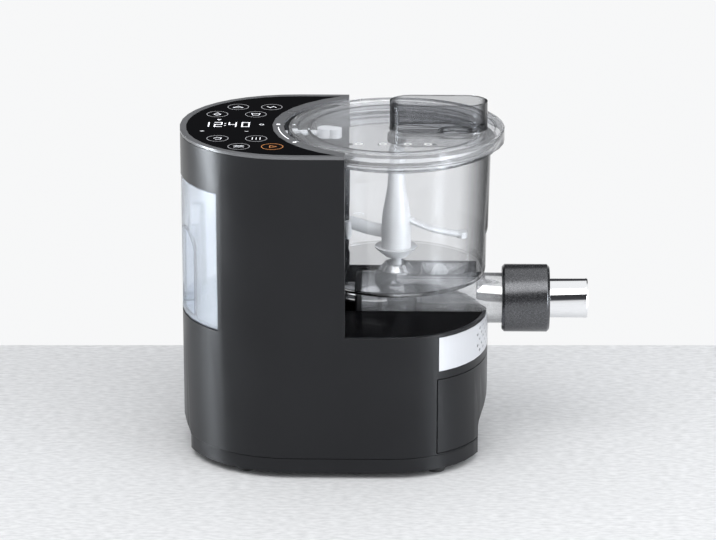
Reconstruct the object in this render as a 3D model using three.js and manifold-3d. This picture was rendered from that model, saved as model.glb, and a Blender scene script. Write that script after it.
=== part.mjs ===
// Electric pasta maker: a kneading bowl on a motor housing, and an auger that presses dough through a nozzle.
// Millimetres, +Z up. +X points along the extruder, and -Y is the long side with the drawer on its right.
import * as THREE from 'three';
import { mergeVertices } from 'three/addons/utils/BufferGeometryUtils.js';
import Module from 'manifold-3d';

const wasm = await Module();
wasm.setup();

// Driving dimensions

const bodyHeight = 292;
const deckHeight = 130;
const footHeight = 6;
const panHeight = 13;
const columnDepth = 90.7;
const tipReach = 43.5;
const noseLength = 90;
const bowlTopRadius = 82.6;
const rimReach = 5.4;
const lidReach = 6.4;
const lidClearance = 4.4;
const cheekWidth = 3.2;
const bowlWall = 2.4;
const bowlDraft = 1.8;
const stepInset = 1.3;
const lowDraft = 0.5;
const frontMargin = 2.5;
const barrelOverhang = 28.5;
const nutOverhang = 25.5;
const nozzleOverhang = 34;
const axleRise = 4;
const wall = 2.6;
const joinGap = 0.3;
const slideGap = 0.7;
const overcut = 2;
const weldShare = 0.0003;
const sliverShare = 0.1;

// Places that follow from them: the column clears the lid, the base ends just ahead of the bowl

const bowlRimRadius = bowlTopRadius + rimReach;
const bowlMidRadius = bowlTopRadius - bowlDraft;
const bowlStepRadius = bowlMidRadius - stepInset;
const bowlLowRadius = bowlStepRadius - lowDraft;
const lidRadius = bowlRimRadius + lidReach;
const clearanceRadius = lidRadius + lidClearance;
const halfWidth = clearanceRadius + cheekWidth;
const bodyWidth = 2 * halfWidth;
const bowlAxisFromFront = bowlLowRadius + frontMargin;
const barrelFront = bowlAxisFromFront + barrelOverhang;
const nutFront = barrelFront + nutOverhang;
const bodyLength = columnDepth + clearanceRadius + bowlAxisFromFront;
const overallLength = columnDepth + clearanceRadius + nutFront + nozzleOverhang;
const rearX = -overallLength / 2;
const frontX = rearX + bodyLength;
const axisX = frontX - bowlAxisFromFront;
const columnX = axisX - tipReach;
const nozzleTipX = overallLength / 2;
const seamHeight = footHeight + panHeight;
const axleHeight = deckHeight + axleRise;

// Counts of facets

const rearSquareness = 2.1;
const noseSquareness = 2.25;
const rearSteps = 20;
const noseSteps = 22;
const arcSteps = 12;
const roundSteps = 36;
const turnSteps = 24;
const fineSteps = 16;
const smallSteps = 10;
const pinSteps = 8;
const flightSteps = 16;
const traceSteps = 400;

// Top of the column, whose display lies between the crescent and the rear

const trimHeight = 2.5;
const trimWidth = 5.5;
const crescentWidth = 9.7;
const glassArcRadius = clearanceRadius + crescentWidth;
const glassThickness = 1.9;
const ledgeDepth = 2.6;
const ledgeWidth = 3;
const glassLow = bodyHeight - joinGap / 2 - glassThickness;
const boardTop = bodyHeight - trimHeight - ledgeDepth - joinGap;
const boardThickness = 1.8;
const displaySetback = 41.5;
const displayAt = -glassArcRadius - displaySetback;
const displayReach = 29;
const displayHalf = 14;

// Bowl and lid, by heights above the axle or down from the top

const floorRise = 24;
const stepRise = 39;
const rimDrop = 13;
const rimThickness = 4;
const bowlFloor = axleHeight + floorRise;
const bowlFloorThickness = 3;
const bowlStep = bowlFloor + stepRise;
const bowlRimHigh = bodyHeight - rimDrop;
const bowlRimLow = bowlRimHigh - rimThickness;
const bowlEdgeRound = 4.5;
const edgeShare = 0.3;

const lidSkirt = 11.8;
const lidLow = bodyHeight - lidSkirt;
const lidWall = 2.2;
const discDrop = 4;
const lidDiscLow = bodyHeight - discDrop;
const lidDiscThickness = 2.2;
const lidRim = 8.4;
const lidDiscRadius = lidRadius - lidRim;
const innerGap = 2.2;
const innerDrop = 21;
const lidInnerRadius = bowlTopRadius - bowlWall - innerGap;
const lidInnerLow = bodyHeight - innerDrop;
const funnelMargin = 6.8;
const funnelHalfLength = 42.7;
const funnelHalfWidth = 18.7;
const funnelCentre = lidDiscRadius - funnelMargin - funnelHalfLength;
const funnelRise = 22.5;
const funnelDrop = 16;
const funnelFloorDrop = 9;
const funnelTop = bodyHeight + funnelRise;
const funnelLow = bodyHeight - funnelDrop;
const funnelFloor = bodyHeight - funnelFloorDrop;
const funnelHoleShift = 15.4;
const funnelHoleAt = funnelCentre + funnelHoleShift;
const funnelHoleRadius = 14;
const ventInset = 24;
const ventSide = ventInset - lidInnerRadius;
const ventRadius = 1.7;
const ventShares = [-0.413, -0.148, 0.127, 0.35];
const portInset = 18;
const portAt = portInset - lidInnerRadius;
const portRadius = 7.5;
const portSmallRadius = 6.2;
const portShift = 4;
const portDepth = 8;
const sealThickness = 1.3;
const spoutSink = 8.6;
const spoutZ = bodyHeight - spoutSink;
const spoutRadius = 3.3;
const stemSetback = 10.2;
const spoutStem = -clearanceRadius - stemSetback;
const spoutDrop = 8;
const ductRadius = 2.4;

// Extruder, along its axle from the bowl's axis

const barrelRadius = 22.5;
const barrelBore = 20;
const domeBaseRadius = 23.5;
const backWall = 6.5;
const barrelBack = -domeBaseRadius - backWall;
const collarRadius = 25.4;
const collarLength = 16;
const collarBack = barrelFront - collarLength;
const gearRoomRadius = 18.4;
const gearRoomDepth = 7.5;
const gearRoomRise = 16;
const gearRoomLow = axleHeight - gearRoomDepth;
const gearRoomHigh = axleHeight + gearRoomRise;
const domeRise = 32.5;
const domeTop = axleHeight + domeRise;
const domeTopRadius = 10.5;
const domeShares = [[1, 0], [0.96, 0.15], [0.877, 0.333], [0.74, 0.533]];
const chuteBackWall = 2.1;
const chuteFrom = gearRoomRadius + chuteBackWall;
const chuteLean = 8.1;
const valleyX = chuteFrom + chuteLean;
const valleyRise = 5;
const valleyZ = axleHeight + valleyRise;
const chuteInset = 8;
const chuteFrontWall = 5;
const chuteBlockFront = bowlLowRadius - chuteInset;
const chuteTo = chuteBlockFront - chuteFrontWall;
const chuteHalf = 17.5;
const chuteOuterHalf = 21.8;
const flangeLength = 5.3;
const flangeBack = barrelBack - joinGap - flangeLength;
const flangeRadius = 22;
const flangeRound = 1.5;

const flightGap = 0.8;
const augerFlight = barrelBore - flightGap;
const augerShaft = 4.2;
const augerTipRadius = 6.3;
const augerNeck = 3.4;
const bossRadius = 9;
const bossEnd = joinGap / 3 - gearRoomRadius;
const augerPitch = 38;
const bearingWall = 5.6;
const flightStop = 6;
const noseGap = 2;
const flightFrom = gearRoomRadius + bearingWall;
const flightTo = barrelFront - flightStop;
const flightThickness = 3;
const augerNose = barrelFront - noseGap;
const bevelNear = 10;
const bevelFar = 15;
const bevelTeeth = 10;
const wheelTeeth = 20;
const toothRise = 0.07;
const bevelRootShare = 0.24;
const bevelTipShare = 0.1;
const wheelHubRadius = 8.4;
const spindleRadius = 4.5;

// Paddle, in shares of its rise from the collar to the pin

const shaftTopRadius = 7.4;
const paddleHubRadius = 13.2;
const paddleCollarRadius = 19;
const collarFootRadius = 10;
const collarHeight = 9;
const paddleGap = 6.4;
const pinDrop = 21;
const shaftDrop = 11;
const paddleCollarLow = domeTop + paddleGap;
const paddlePinLow = bodyHeight - pinDrop;
const paddleTop = bodyHeight - shaftDrop;
const hubShares = [[1, 0.307], [0.914, 0.42], [0.75, 0.533], [0.617, 0.646], [0.56, 0.76]];
const armInset = 21;
const armReach = bowlLowRadius - armInset;
const armSweep = -4;
const armRootShare = 0.399;
const armEndShare = 0.215;
const armHalfWide = 5;
const armHalfThick = 2.8;
const armShares = [[0.07, 0, 0], [0.27, 0.25, 0.44], [0.55, 0.6, 0.76], [0.82, 0.85, 0.94], [1, 1, 1]];
const bladeInset = 37;
const bladeReach = bladeInset - bowlLowRadius;
const bladeSweep = 3;
const bladeRootShare = 0.22;
const bladeEndShare = 0.307;
const bladeHalfWide = 2.6;
const bladeHalfThick = 6.3;
const bladeShares = [[0.06, 0, 0], [0.48, 0.33, 0.29], [1, 1, 1]];
const hookShare = 0.144;
const hookRadius = 2.4;
const hookTopRadius = 3.6;

// Nozzle and ring nut

const nutRadius = 30;
const nutLength = 41.9;
const nutBack = nutFront - nutLength;
const nutPlay = 0.8;
const nutBore = collarRadius + nutPlay;
const nutRound = 2.2;
const nutLip = 4.4;
const nozzleRadius = 17.45;
const nozzleBore = 15.2;
const nozzleLip = 1.2;
const dieThickness = 3;
const dieHoleRadius = 3;
const dieHoleShare = 0.62;
const dieHoles = 6;

// Drive, between the tank bay and the bowl

const gearModule = 2.25;
const gearTeeth = 30;
const pinionTeeth = 10;
const addendumShare = 0.85;
const dedendumShare = 1.1;
const rootShare = 0.25;
const tipShare = 0.1;
const lighteningHoles = 5;
const lighteningRadius = 6;
const lighteningShare = 0.625;
const gearFace = 8;
const gearFront = -clearanceRadius - wall * 2;
const gearBack = gearFront - gearFace;
const plateThickness = 3.8;
const plateHalf = 38;
const motorMargin = 8.5;
const motorFront = gearBack - joinGap * 4 - plateThickness;
const motorBack = motorMargin - clearanceRadius - columnDepth;
const motorZ = axleHeight - ((gearTeeth + pinionTeeth) * gearModule) / 2;
const motorRadius = 30;
const motorShaft = 4;
const rotorRadius = 19;
const statorThickness = 4.5;
const coreBack = motorBack + wall * 4;
const coreFront = motorFront - wall * 3;
const driveShaft = 4.2;
const dogLength = 8.5;
const dogFront = flangeBack - joinGap * 3;
const dogBack = dogFront - dogLength;
const dogRadius = 12.6;
const keyRadius = 5;
const keySides = 6;
const keyEngage = 7;
const keyEnd = barrelBack + keyEngage;

// Deck, with its trough round the barrel and its tunnel round the shaft

const troughGap = 2;
const troughRadius = barrelRadius + troughGap;
const troughWall = 2;
const troughMargin = 1;
const troughStart = dogBack - troughMargin;
const tunnelEnd = troughStart - troughMargin / 2;
const tunnelRadius = 17;
const platformSink = 1.2;
const platformThickness = 3;
const rimWidth = 3;

// Scoops, inlet and bright strip

const scoopDepth = 8.5;
const frontScoopRise = 35;
const frontScoopEase = 23;
const rearScoopRise = 15;
const rearScoopEase = 16;
const frontScoopTop = seamHeight + frontScoopRise;
const frontScoopBottom = frontScoopTop - frontScoopEase;
const rearScoopTop = seamHeight + rearScoopRise;
const rearScoopBottom = rearScoopTop - rearScoopEase;

const inletHalf = 13;
const inletHeight = 15;
const inletMiddle = (seamHeight + motorZ - motorRadius) / 2;
const inletLow = inletMiddle - inletHeight / 2;
const inletHigh = inletMiddle + inletHeight / 2;
const inletDepth = 24;
const pinRadius = 1.5;

const stripReach = 43.5;
const stripDrop = 3;
const stripHeight = 30.5;
const stripFrom = bowlAxisFromFront - stripReach;
const stripHigh = deckHeight - stripDrop;
const stripLow = stripHigh - stripHeight;
const stripThickness = 1.1;
const holePitch = 5;
const holeSide = 2.5;
const holeRows = 5;
const holeReach = 56;
const ventMargin = 3.5;

// Drawer, below the strip

const drawerReach = 44.5;
const drawerRise = 2;
const stripMargin = 8;
const drawerFrom = bowlAxisFromFront - drawerReach;
const drawerLow = seamHeight + drawerRise;
const drawerHigh = stripLow - stripMargin;
const drawerWall = 3;
const drawerBoxLength = 83;
const drawerBoxRise = 3.5;
const drawerBoxDrop = 8.5;
const drawerBoxHalf = 67;
const drawerBoxBack = drawerFrom - drawerBoxLength;
const drawerBoxLow = drawerLow + drawerBoxRise;
const drawerBoxHigh = drawerHigh - drawerBoxDrop;
const drawerBoxWall = 2;

// Tank, in the rear of the column

const tankHalf = 78.5;
const tankSill = 0.6;
const tankDrop = 40.2;
const driveSpace = 33.7;
const tankLow = deckHeight - tankSill;
const tankHigh = bodyHeight - tankDrop;
const tankDepth = columnDepth - driveSpace;
const tankWall = 2.2;
const bayWall = 2;
const gripRibHalf = 12;
const pocketWidth = 41;
const pocketAt = gripRibHalf + pocketWidth / 2;
const pocketRise = 4.6;
const pocketDrop = 43.8;
const pocketLow = tankLow + pocketRise;
const pocketHigh = tankHigh - pocketDrop;
const pocketDepth = 15;
const pocketRound = 16;
const valveInset = 26.5;
const valveRise = 7.6;
const valveY = valveInset - tankHalf;
const valveZ = tankLow + valveRise;
const valveRadius = 6;
const waterBore = 1.5;
const socketBack = tankDepth + slideGap + bayWall + joinGap;
const socketLength = 11;
const socketNoseRadius = 3.6;

// Fan and pump, under the column

const fanGap = 16;
const fanLength = 14;
const fanLift = 43;
const fanFront = drawerBoxBack - fanGap;
const fanBack = fanFront - fanLength;
const fanZ = seamHeight + fanLift;
const fanRadius = 26;
const fanHub = 10;
const fanBlades = 7;
const bladeThickness = 1.5;
const chordShare = 0.95;

const pumpInset = 45;
const pumpLift = 41;
const pumpRadius = 13;
const pumpAhead = 18.8;
const pumpLength = 40;
const pumpInletSetback = 18;
const pumpY = pumpInset - halfWidth;
const pumpZ = seamHeight + pumpLift;
const pumpFront = pumpAhead - clearanceRadius;
const pumpBack = pumpFront - pumpLength;
const pumpInletAt = pumpFront - pumpInletSetback;
const stubRadius = 3.4;
const stubLength = 4;
const hoseRadius = 2.6;
const hoseGap = 7;
const hoseY = Math.min(pumpY, valveY) - hoseGap;
const hoseTurnShares = [
  [0.138, 1, 0.149],
  [0.69, 1, 0.288],
  [0.759, 1, 0.65],
  [0.897, 0.53, 0.882],
];

// Underside, in distances in from the rear, the front and the sides

const footRadius = 9;
const footTaper = 1.5;
const footRearInset = 59.5;
const footFrontInset = 45.5;
const footSideInset = 26;
const footBack = footRearInset - clearanceRadius - columnDepth;
const footFront = bowlAxisFromFront - footFrontInset;
const footHalf = halfWidth - footSideInset;
const screwHead = 3;
const screwShank = 1.5;
const screwRearInset = 37.5;
const screwRearSide = 44;
const screwRailGap = 6;
const screwFrontSide = 18;
const screwBack = screwRearInset - clearanceRadius - columnDepth;
const screwBackHalf = halfWidth - screwRearSide;
const screwFront = drawerBoxBack - screwRailGap;
const screwFrontHalf = halfWidth - screwFrontSide;
const slotHalf = 22;
const slotWidth = 2;
const slotPitch = 5.5;
const slotCount = 7;

// Materials

function paint(color, roughness, metalness) {
  return new THREE.MeshStandardMaterial({ color, roughness, metalness });
}

// Solids

const group = new THREE.Group();
group.name = 'pasta_maker';

function solid(geometry) {
  const bare = geometry.clone();
  bare.deleteAttribute('normal');
  bare.deleteAttribute('uv');
  const welded = mergeVertices(bare, joinGap * weldShare);
  const numbers = Float32Array.from(welded.attributes.position.array);
  const corners = Uint32Array.from(welded.index.array);
  return new wasm.Manifold(new wasm.Mesh({ numProp: 3, vertProperties: numbers, triVerts: corners }));
}

function place(name, manifold, material) {
  const mesh = manifold.simplify(joinGap * sliverShare).getMesh();
  const geometry = new THREE.BufferGeometry();
  geometry.setAttribute('position', new THREE.BufferAttribute(Float32Array.from(mesh.vertProperties), 3));
  geometry.setIndex(new THREE.BufferAttribute(Uint32Array.from(mesh.triVerts), 1));
  geometry.computeVertexNormals();
  const node = new THREE.Mesh(geometry, material);
  node.name = name;
  group.add(node);
}

function joined(list) {
  return list.reduce((sum, next) => sum.add(next));
}

function block(x0, x1, y0, y1, z0, z1) {
  const geometry = new THREE.BoxGeometry(x1 - x0, y1 - y0, z1 - z0);
  geometry.translate((x0 + x1) / 2, (y0 + y1) / 2, (z0 + z1) / 2);
  return solid(geometry);
}

function straight(outline, depth) {
  return new THREE.ExtrudeGeometry(new THREE.Shape(outline), { depth, bevelEnabled: false });
}

function prism(outline, z0, z1) {
  return solid(straight(outline, z1 - z0).translate(0, 0, z0));
}

// A side profile in X and Z, pushed out along Y.
function sidePrism(outline, y0, y1) {
  return solid(straight(outline, y1 - y0).rotateX(Math.PI / 2).translate(0, y1, 0));
}

// A profile in Y and Z, pushed out along X.
function frontPrism(outline, x0, x1) {
  return solid(straight(outline, x1 - x0).rotateX(Math.PI / 2).rotateZ(Math.PI / 2).translate(x0, 0, 0));
}

function cylinder(radius, from, to, steps = fineSteps, endRadius = radius) {
  return new THREE.CylinderGeometry(endRadius, radius, to - from, steps, 1).translate(0, (from + to) / 2, 0);
}

function uprightRod(x, y, radius, z0, z1, steps = fineSteps, endRadius = radius) {
  return solid(cylinder(radius, z0, z1, steps, endRadius).rotateX(Math.PI / 2).translate(x, y, 0));
}

function levelRod(y, z, radius, x0, x1, steps = fineSteps, endRadius = radius) {
  return solid(cylinder(radius, x0, x1, steps, endRadius).rotateZ(-Math.PI / 2).translate(0, y, z));
}

// A turned shape whose profile lists radius and height and closes on itself.
function turned(profile, steps = turnSteps) {
  const points = profile.map(([radius, height]) => new THREE.Vector2(radius, height));
  return new THREE.LatheGeometry(points, steps);
}

function turnedUp(profile, x, steps = turnSteps) {
  return solid(turned(profile, steps).rotateX(Math.PI / 2).translate(x, 0, 0));
}

function turnedAlong(profile, y, z, steps = turnSteps) {
  return solid(turned(profile, steps).rotateZ(-Math.PI / 2).translate(0, y, z));
}

function closed(profile) {
  return [...profile, profile[0]];
}

function ring(inner, outer, low, high) {
  return closed([[inner, low], [outer, low], [outer, high], [inner, high]]);
}

function hoseAlong(points, radius) {
  const path = new THREE.CatmullRomCurve3(points.map((point) => new THREE.Vector3(...point)));
  const round = new THREE.Shape();
  round.absarc(0, 0, radius, 0, 2 * Math.PI);
  const options = { steps: 2 * points.length, curveSegments: 4, bevelEnabled: false, extrudePath: path };
  return solid(new THREE.ExtrudeGeometry(round, options));
}

// Outlines of the body

function capPoint(centre, reach, half, squareness, angle) {
  const c = Math.cos(angle);
  const s = Math.sin(angle);
  const x = centre + reach * Math.sign(c) * Math.abs(c) ** (2 / squareness);
  const y = half * Math.sign(s) * Math.abs(s) ** (2 / squareness);
  return new THREE.Vector2(x, y);
}

function rearCap(grow) {
  const points = [];
  for (let i = 0; i <= rearSteps; i += 1) {
    const angle = Math.PI / 2 + (Math.PI * i) / rearSteps;
    points.push(capPoint(rearX + halfWidth, halfWidth + grow, halfWidth + grow, rearSquareness, angle));
  }
  return points;
}

function nosePoint(share, grow) {
  const angle = (share * Math.PI) / 2;
  return capPoint(frontX - noseLength, noseLength + grow, halfWidth + grow, noseSquareness, angle);
}

function bodyOutline(grow = 0) {
  const points = rearCap(grow);
  for (let i = 0; i <= noseSteps; i += 1) {
    points.push(nosePoint((2 * i) / noseSteps - 1, grow));
  }
  return points;
}

// The column is hollowed round the bowl and ends in two narrow flat tips, or in points where the arc is wide.
function columnOutline(grow = 0, radius = clearanceRadius - grow) {
  const tipX = columnX + grow;
  const side = halfWidth + grow;
  const flat = Math.acos((axisX - tipX) / radius);
  const pointed = Math.asin(side / Math.max(side, radius));
  const lean = Math.min(flat, pointed);
  const points = rearCap(grow);
  if (flat < pointed) points.push(new THREE.Vector2(tipX, -side));
  for (let i = 0; i <= arcSteps; i += 1) {
    const angle = Math.PI + lean - (2 * lean * i) / arcSteps;
    points.push(new THREE.Vector2(axisX + radius * Math.cos(angle), radius * Math.sin(angle)));
  }
  if (flat < pointed) points.push(new THREE.Vector2(tipX, side));
  return points;
}

// The finger undercuts at the two ends of the base, as side profiles that ease in and run straight down.
function scoop(end, side, top, bottom, inset = 0) {
  const outside = end + side * scoopDepth;
  const deep = end - side * (scoopDepth + inset);
  const shallow = end - side * inset;
  const points = [new THREE.Vector2(outside, top), new THREE.Vector2(shallow + side * overcut, top)];
  const steps = smallSteps / 2;
  for (let i = 0; i <= steps; i += 1) {
    const ease = (1 - Math.cos((Math.PI * i) / steps)) / 2;
    points.push(new THREE.Vector2(shallow + (deep - shallow) * ease, top + (bottom - top) * (i / steps)));
  }
  points.push(new THREE.Vector2(deep, 0), new THREE.Vector2(outside, 0));
  return sidePrism(points, -bodyWidth, bodyWidth);
}

function scoops(inset = 0) {
  const front = scoop(frontX, 1, frontScoopTop, frontScoopBottom, inset);
  const rear = scoop(rearX, -1, rearScoopTop, rearScoopBottom, inset);
  return front.add(rear);
}

function troughCut(radius, from = troughStart) {
  return levelRod(0, axleHeight, radius, axisX + from, frontX + overcut * 5, turnSteps);
}

// Housing

function drawerSpace(gap) {
  const low = drawerLow - gap;
  const high = drawerHigh + gap;
  return block(axisX + drawerFrom - gap, frontX + overcut, -bodyWidth, bodyWidth, low, high);
}

function stripSpace(gap) {
  const back = axisX + stripFrom - gap;
  return block(back, frontX + overcut, -bodyWidth, bodyWidth, stripLow - gap, stripHigh + gap);
}

function housingShell() {
  const top = bodyHeight - trimHeight - joinGap;
  const low = seamHeight + joinGap;
  const nose = prism(bodyOutline(), low, deckHeight);
  const outer = prism(columnOutline(), low, top).add(nose).subtract(scoops());
  const roomTop = deckHeight - platformSink - platformThickness - joinGap;
  const lowRoom = prism(bodyOutline(-wall), 0, roomTop).subtract(scoops(wall));
  const highRoom = prism(columnOutline(-wall), roomTop - wall, bodyHeight);
  let shell = outer.subtract(lowRoom.add(highRoom));
  const nosePlan = prism(bodyOutline(-rimWidth), roomTop - overcut, bodyHeight);
  const platformHole = nosePlan.subtract(prism(columnOutline(), 0, bodyHeight));
  shell = shell.subtract(platformHole).subtract(troughCut(troughRadius));
  const stripBack = prism(bodyOutline(-stripThickness - joinGap), 0, bodyHeight);
  const stripPocket = stripSpace(joinGap).subtract(stripBack);
  shell = shell.subtract(stripPocket).subtract(drawerSpace(slideGap));
  const windowBand = block(rearX, frontX, -holeReach, holeReach, 0, stripHigh - ventMargin);
  const window = stripSpace(-ventMargin).intersect(windowBand);
  shell = shell.subtract(window);
  const bay = tankHalf + slideGap;
  const bayLow = tankLow - slideGap * 2;
  shell = shell.subtract(block(rearX - overcut, rearX + tankDepth, -bay, bay, bayLow, tankHigh + slideGap));
  const arcBack = axisX - clearanceRadius - wall * 2;
  const arcFront = axisX - clearanceRadius + wall;
  const shaftHole = levelRod(0, axleHeight, driveShaft * 2, arcBack, arcFront);
  const spoutHole = levelRod(0, spoutZ, spoutRadius + joinGap, arcBack, arcFront);
  return shell.subtract(shaftHole).subtract(spoutHole).subtract(inletOpening());
}

function inletOpening() {
  const front = rearX + scoopDepth + wall * 2;
  return block(rearX - overcut, front, -inletHalf, inletHalf, inletLow, inletHigh);
}

function basePan() {
  const low = footHeight;
  const top = seamHeight - joinGap;
  const flat = block(rearX + scoopDepth, frontX - scoopDepth, -bodyWidth, bodyWidth, low, top);
  const outer = prism(bodyOutline(-joinGap * 2), low, top).intersect(flat);
  const backFlat = rearX + scoopDepth + wall;
  const frontFlat = frontX - scoopDepth - wall;
  const innerFlat = block(backFlat, frontFlat, -bodyWidth, bodyWidth, 0, bodyHeight);
  const inner = prism(bodyOutline(-wall - joinGap * 2), low + wall, bodyHeight).intersect(innerFlat);
  let pan = outer.subtract(inner);
  for (let i = 0; i < slotCount; i += 1) {
    const x = axisX + fanFront + slotWidth + i * slotPitch;
    pan = pan.subtract(block(x, x + slotWidth, -slotHalf, slotHalf, 0, low + wall * 2));
  }
  for (const [x, y] of screwPlaces()) {
    pan = pan.subtract(uprightRod(axisX + x, y, screwHead + joinGap, 0, low + wall * 2, smallSteps));
  }
  return pan;
}

function screwPlaces() {
  return [
    [screwBack, screwBackHalf],
    [screwBack, -screwBackHalf],
    [screwFront, screwFrontHalf],
    [screwFront, -screwFrontHalf],
  ];
}

function panScrew(x, y) {
  const low = footHeight + joinGap * 2;
  const mid = low + overcut;
  const top = seamHeight + overcut * 3;
  const head = uprightRod(axisX + x, y, screwHead, low, mid, smallSteps);
  const shank = uprightRod(axisX + x, y, screwShank, low + screwShank, top, smallSteps);
  const slot = uprightRod(axisX + x, y, screwShank, 0, low + screwShank / 2, 6);
  return head.add(shank).subtract(slot);
}

function footPlaces() {
  return [[footBack, footHalf], [footBack, -footHalf], [footFront, footHalf], [footFront, -footHalf]];
}

function foot(x, y) {
  return uprightRod(axisX + x, y, footRadius - footTaper, 0, footHeight - joinGap, fineSteps, footRadius);
}

function topTrim() {
  const top = bodyHeight;
  const low = bodyHeight - trimHeight;
  const plate = prism(columnOutline(), low, top);
  const ledge = prism(columnOutline(-wall - joinGap), low - ledgeDepth, low + joinGap);
  const seat = prism(columnOutline(-trimWidth, glassArcRadius), glassLow - joinGap, top + overcut);
  const windowOutline = columnOutline(-trimWidth - ledgeWidth, glassArcRadius + ledgeWidth);
  const window = prism(windowOutline, 0, bodyHeight * 2);
  return plate.add(ledge).subtract(seat).subtract(window);
}

function controlGlass() {
  const outline = columnOutline(-trimWidth - joinGap, glassArcRadius + joinGap);
  return prism(outline, glassLow, glassLow + glassThickness);
}

function controlBoard() {
  const outline = columnOutline(-trimWidth - joinGap, glassArcRadius + trimWidth);
  return prism(outline, boardTop - boardThickness, boardTop);
}

function displayModule() {
  const centre = axisX + displayAt;
  const low = boardTop + joinGap;
  const high = glassLow - joinGap;
  return block(centre - displayReach, centre + displayReach, -displayHalf, displayHalf, low, high);
}

function bowlPlatform() {
  const top = deckHeight - platformSink;
  const low = top - platformThickness;
  const column = prism(columnOutline(joinGap), 0, bodyHeight);
  const plan = prism(bodyOutline(-rimWidth - joinGap), low, top).subtract(column);
  const gutter = troughCut(troughRadius + troughWall, troughStart - troughWall).intersect(
    prism(bodyOutline(-rimWidth - joinGap), 0, top),
  );
  const tunnelBack = axisX - clearanceRadius - overcut;
  const tunnel = levelRod(0, axleHeight, tunnelRadius, tunnelBack, axisX + tunnelEnd, turnSteps);
  const plinthHalf = tunnelRadius - slideGap;
  const plinth = block(tunnelBack, axisX + tunnelEnd, -plinthHalf, plinthHalf, low, axleHeight);
  const bore = levelRod(0, axleHeight, driveShaft * 2, tunnelBack - overcut, axisX + tunnelEnd + overcut);
  const arch = tunnel.add(plinth).subtract(column);
  return plan.add(gutter).subtract(troughCut(troughRadius)).add(arch).subtract(bore);
}

// The bright strip round the nose, with staggered diamond holes that stand square to its curve.
function ventStrip() {
  const core = prism(bodyOutline(-stripThickness), 0, bodyHeight);
  const skin = prism(bodyOutline(), stripLow, stripHigh).subtract(core);
  const strip = skin.intersect(stripSpace(0)).subtract(troughCut(troughRadius));
  const cuts = [];
  for (const place of stripPlaces()) {
    for (let row = 0; row < holeRows; row += 1) {
      if ((row + place.index) % 2 === 0) {
        const z = (stripLow + stripHigh) / 2 + (row - (holeRows - 1) / 2) * holePitch;
        const nearTrough = Math.hypot(place.y, z - axleHeight) < troughRadius + holeSide;
        if (!nearTrough) cuts.push(diamond(place.x, place.y, z, place.angle));
      }
    }
  }
  return strip.subtract(joined(cuts));
}

function diamond(x, y, z, angle) {
  const reach = 8 * stripThickness;
  const geometry = new THREE.BoxGeometry(reach, holeSide, holeSide);
  geometry.rotateX(Math.PI / 4).rotateZ(angle).translate(x, y, z);
  return solid(geometry);
}

// Evenly spaced stations along the nose, each with the direction square to the skin.
function stripPlaces() {
  const trace = [];
  for (let i = 0; i <= traceSteps; i += 1) {
    trace.push(nosePoint((2 * i) / traceSteps - 1, -stripThickness / 2));
  }
  const places = [];
  let run = 0;
  let index = 0;
  for (let i = 1; i < trace.length; i += 1) {
    const d = trace[i].clone().sub(trace[i - 1]);
    run += d.length();
    if (run >= holePitch) {
      run -= holePitch;
      const angle = Math.atan2(-d.x, d.y);
      if (Math.abs(trace[i].y) < holeReach) places.push({ x: trace[i].x, y: trace[i].y, angle, index });
      index += 1;
    }
  }
  return places;
}

function powerInlet() {
  const back = rearX + overcut;
  const front = rearX + inletDepth;
  const half = inletHalf - joinGap;
  const low = inletLow + joinGap;
  const high = inletHigh - joinGap;
  const outer = block(back, front, -half, half, low, high);
  const room = block(back - overcut, front - wall, -half + wall, half - wall, low + wall, high - wall);
  const pin = (y) => levelRod(y, inletMiddle, pinRadius, back + wall, front - wall / 2, pinSteps);
  return outer.subtract(room).add(pin(half / 3)).add(pin(-half / 3));
}

// Water tank and its bay

function tankBay() {
  const half = tankHalf + slideGap;
  const low = tankLow - slideGap * 2;
  const high = tankHigh + slideGap;
  const front = rearX + tankDepth + slideGap;
  const outer = block(rearX, front + bayWall, -half - bayWall, half + bayWall, low - bayWall, high + bayWall);
  const room = block(rearX - overcut, front, -half, half, low, high);
  const port = levelRod(valveY, valveZ, valveRadius + slideGap, front - overcut, front + bayWall * 2);
  return outer.subtract(room).intersect(prism(bodyOutline(-wall - joinGap), 0, bodyHeight)).subtract(port);
}

function archOutline(half, low, high, round) {
  const shape = [new THREE.Vector2(half, low), new THREE.Vector2(half, high - round)];
  for (let i = 1; i <= smallSteps; i += 1) {
    const angle = (Math.PI * i) / smallSteps;
    const x = half * Math.cos(angle);
    shape.push(new THREE.Vector2(x, high - round + round * Math.sin(angle)));
  }
  shape.push(new THREE.Vector2(-half, low));
  return shape;
}

// Two finger pockets with an upright rib between them, which the hand pinches.
function tankPockets(grow) {
  const half = pocketWidth / 2 + grow;
  const outline = archOutline(half, pocketLow - grow, pocketHigh + grow, pocketRound + grow);
  const pocket = frontPrism(outline, rearX - overcut * 3, rearX + pocketDepth + grow);
  return pocket.translate(0, pocketAt, 0).add(pocket.translate(0, -pocketAt, 0));
}

function waterTank() {
  const skin = prism(bodyOutline(-joinGap), tankLow, tankHigh);
  const outer = skin.intersect(block(rearX, rearX + tankDepth, -tankHalf, tankHalf, 0, bodyHeight));
  const inside = prism(bodyOutline(-joinGap - tankWall), tankLow + tankWall, tankHigh + overcut).intersect(
    block(rearX, rearX + tankDepth - tankWall, -tankHalf + tankWall, tankHalf - tankWall, 0, bodyHeight),
  );
  const shell = outer.subtract(tankPockets(0)).subtract(inside.subtract(tankPockets(tankWall)));
  const front = rearX + tankDepth;
  const port = levelRod(valveY, valveZ, valveRadius - tankWall / 2, front - tankWall * 2, front + overcut);
  return shell.subtract(port);
}

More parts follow.
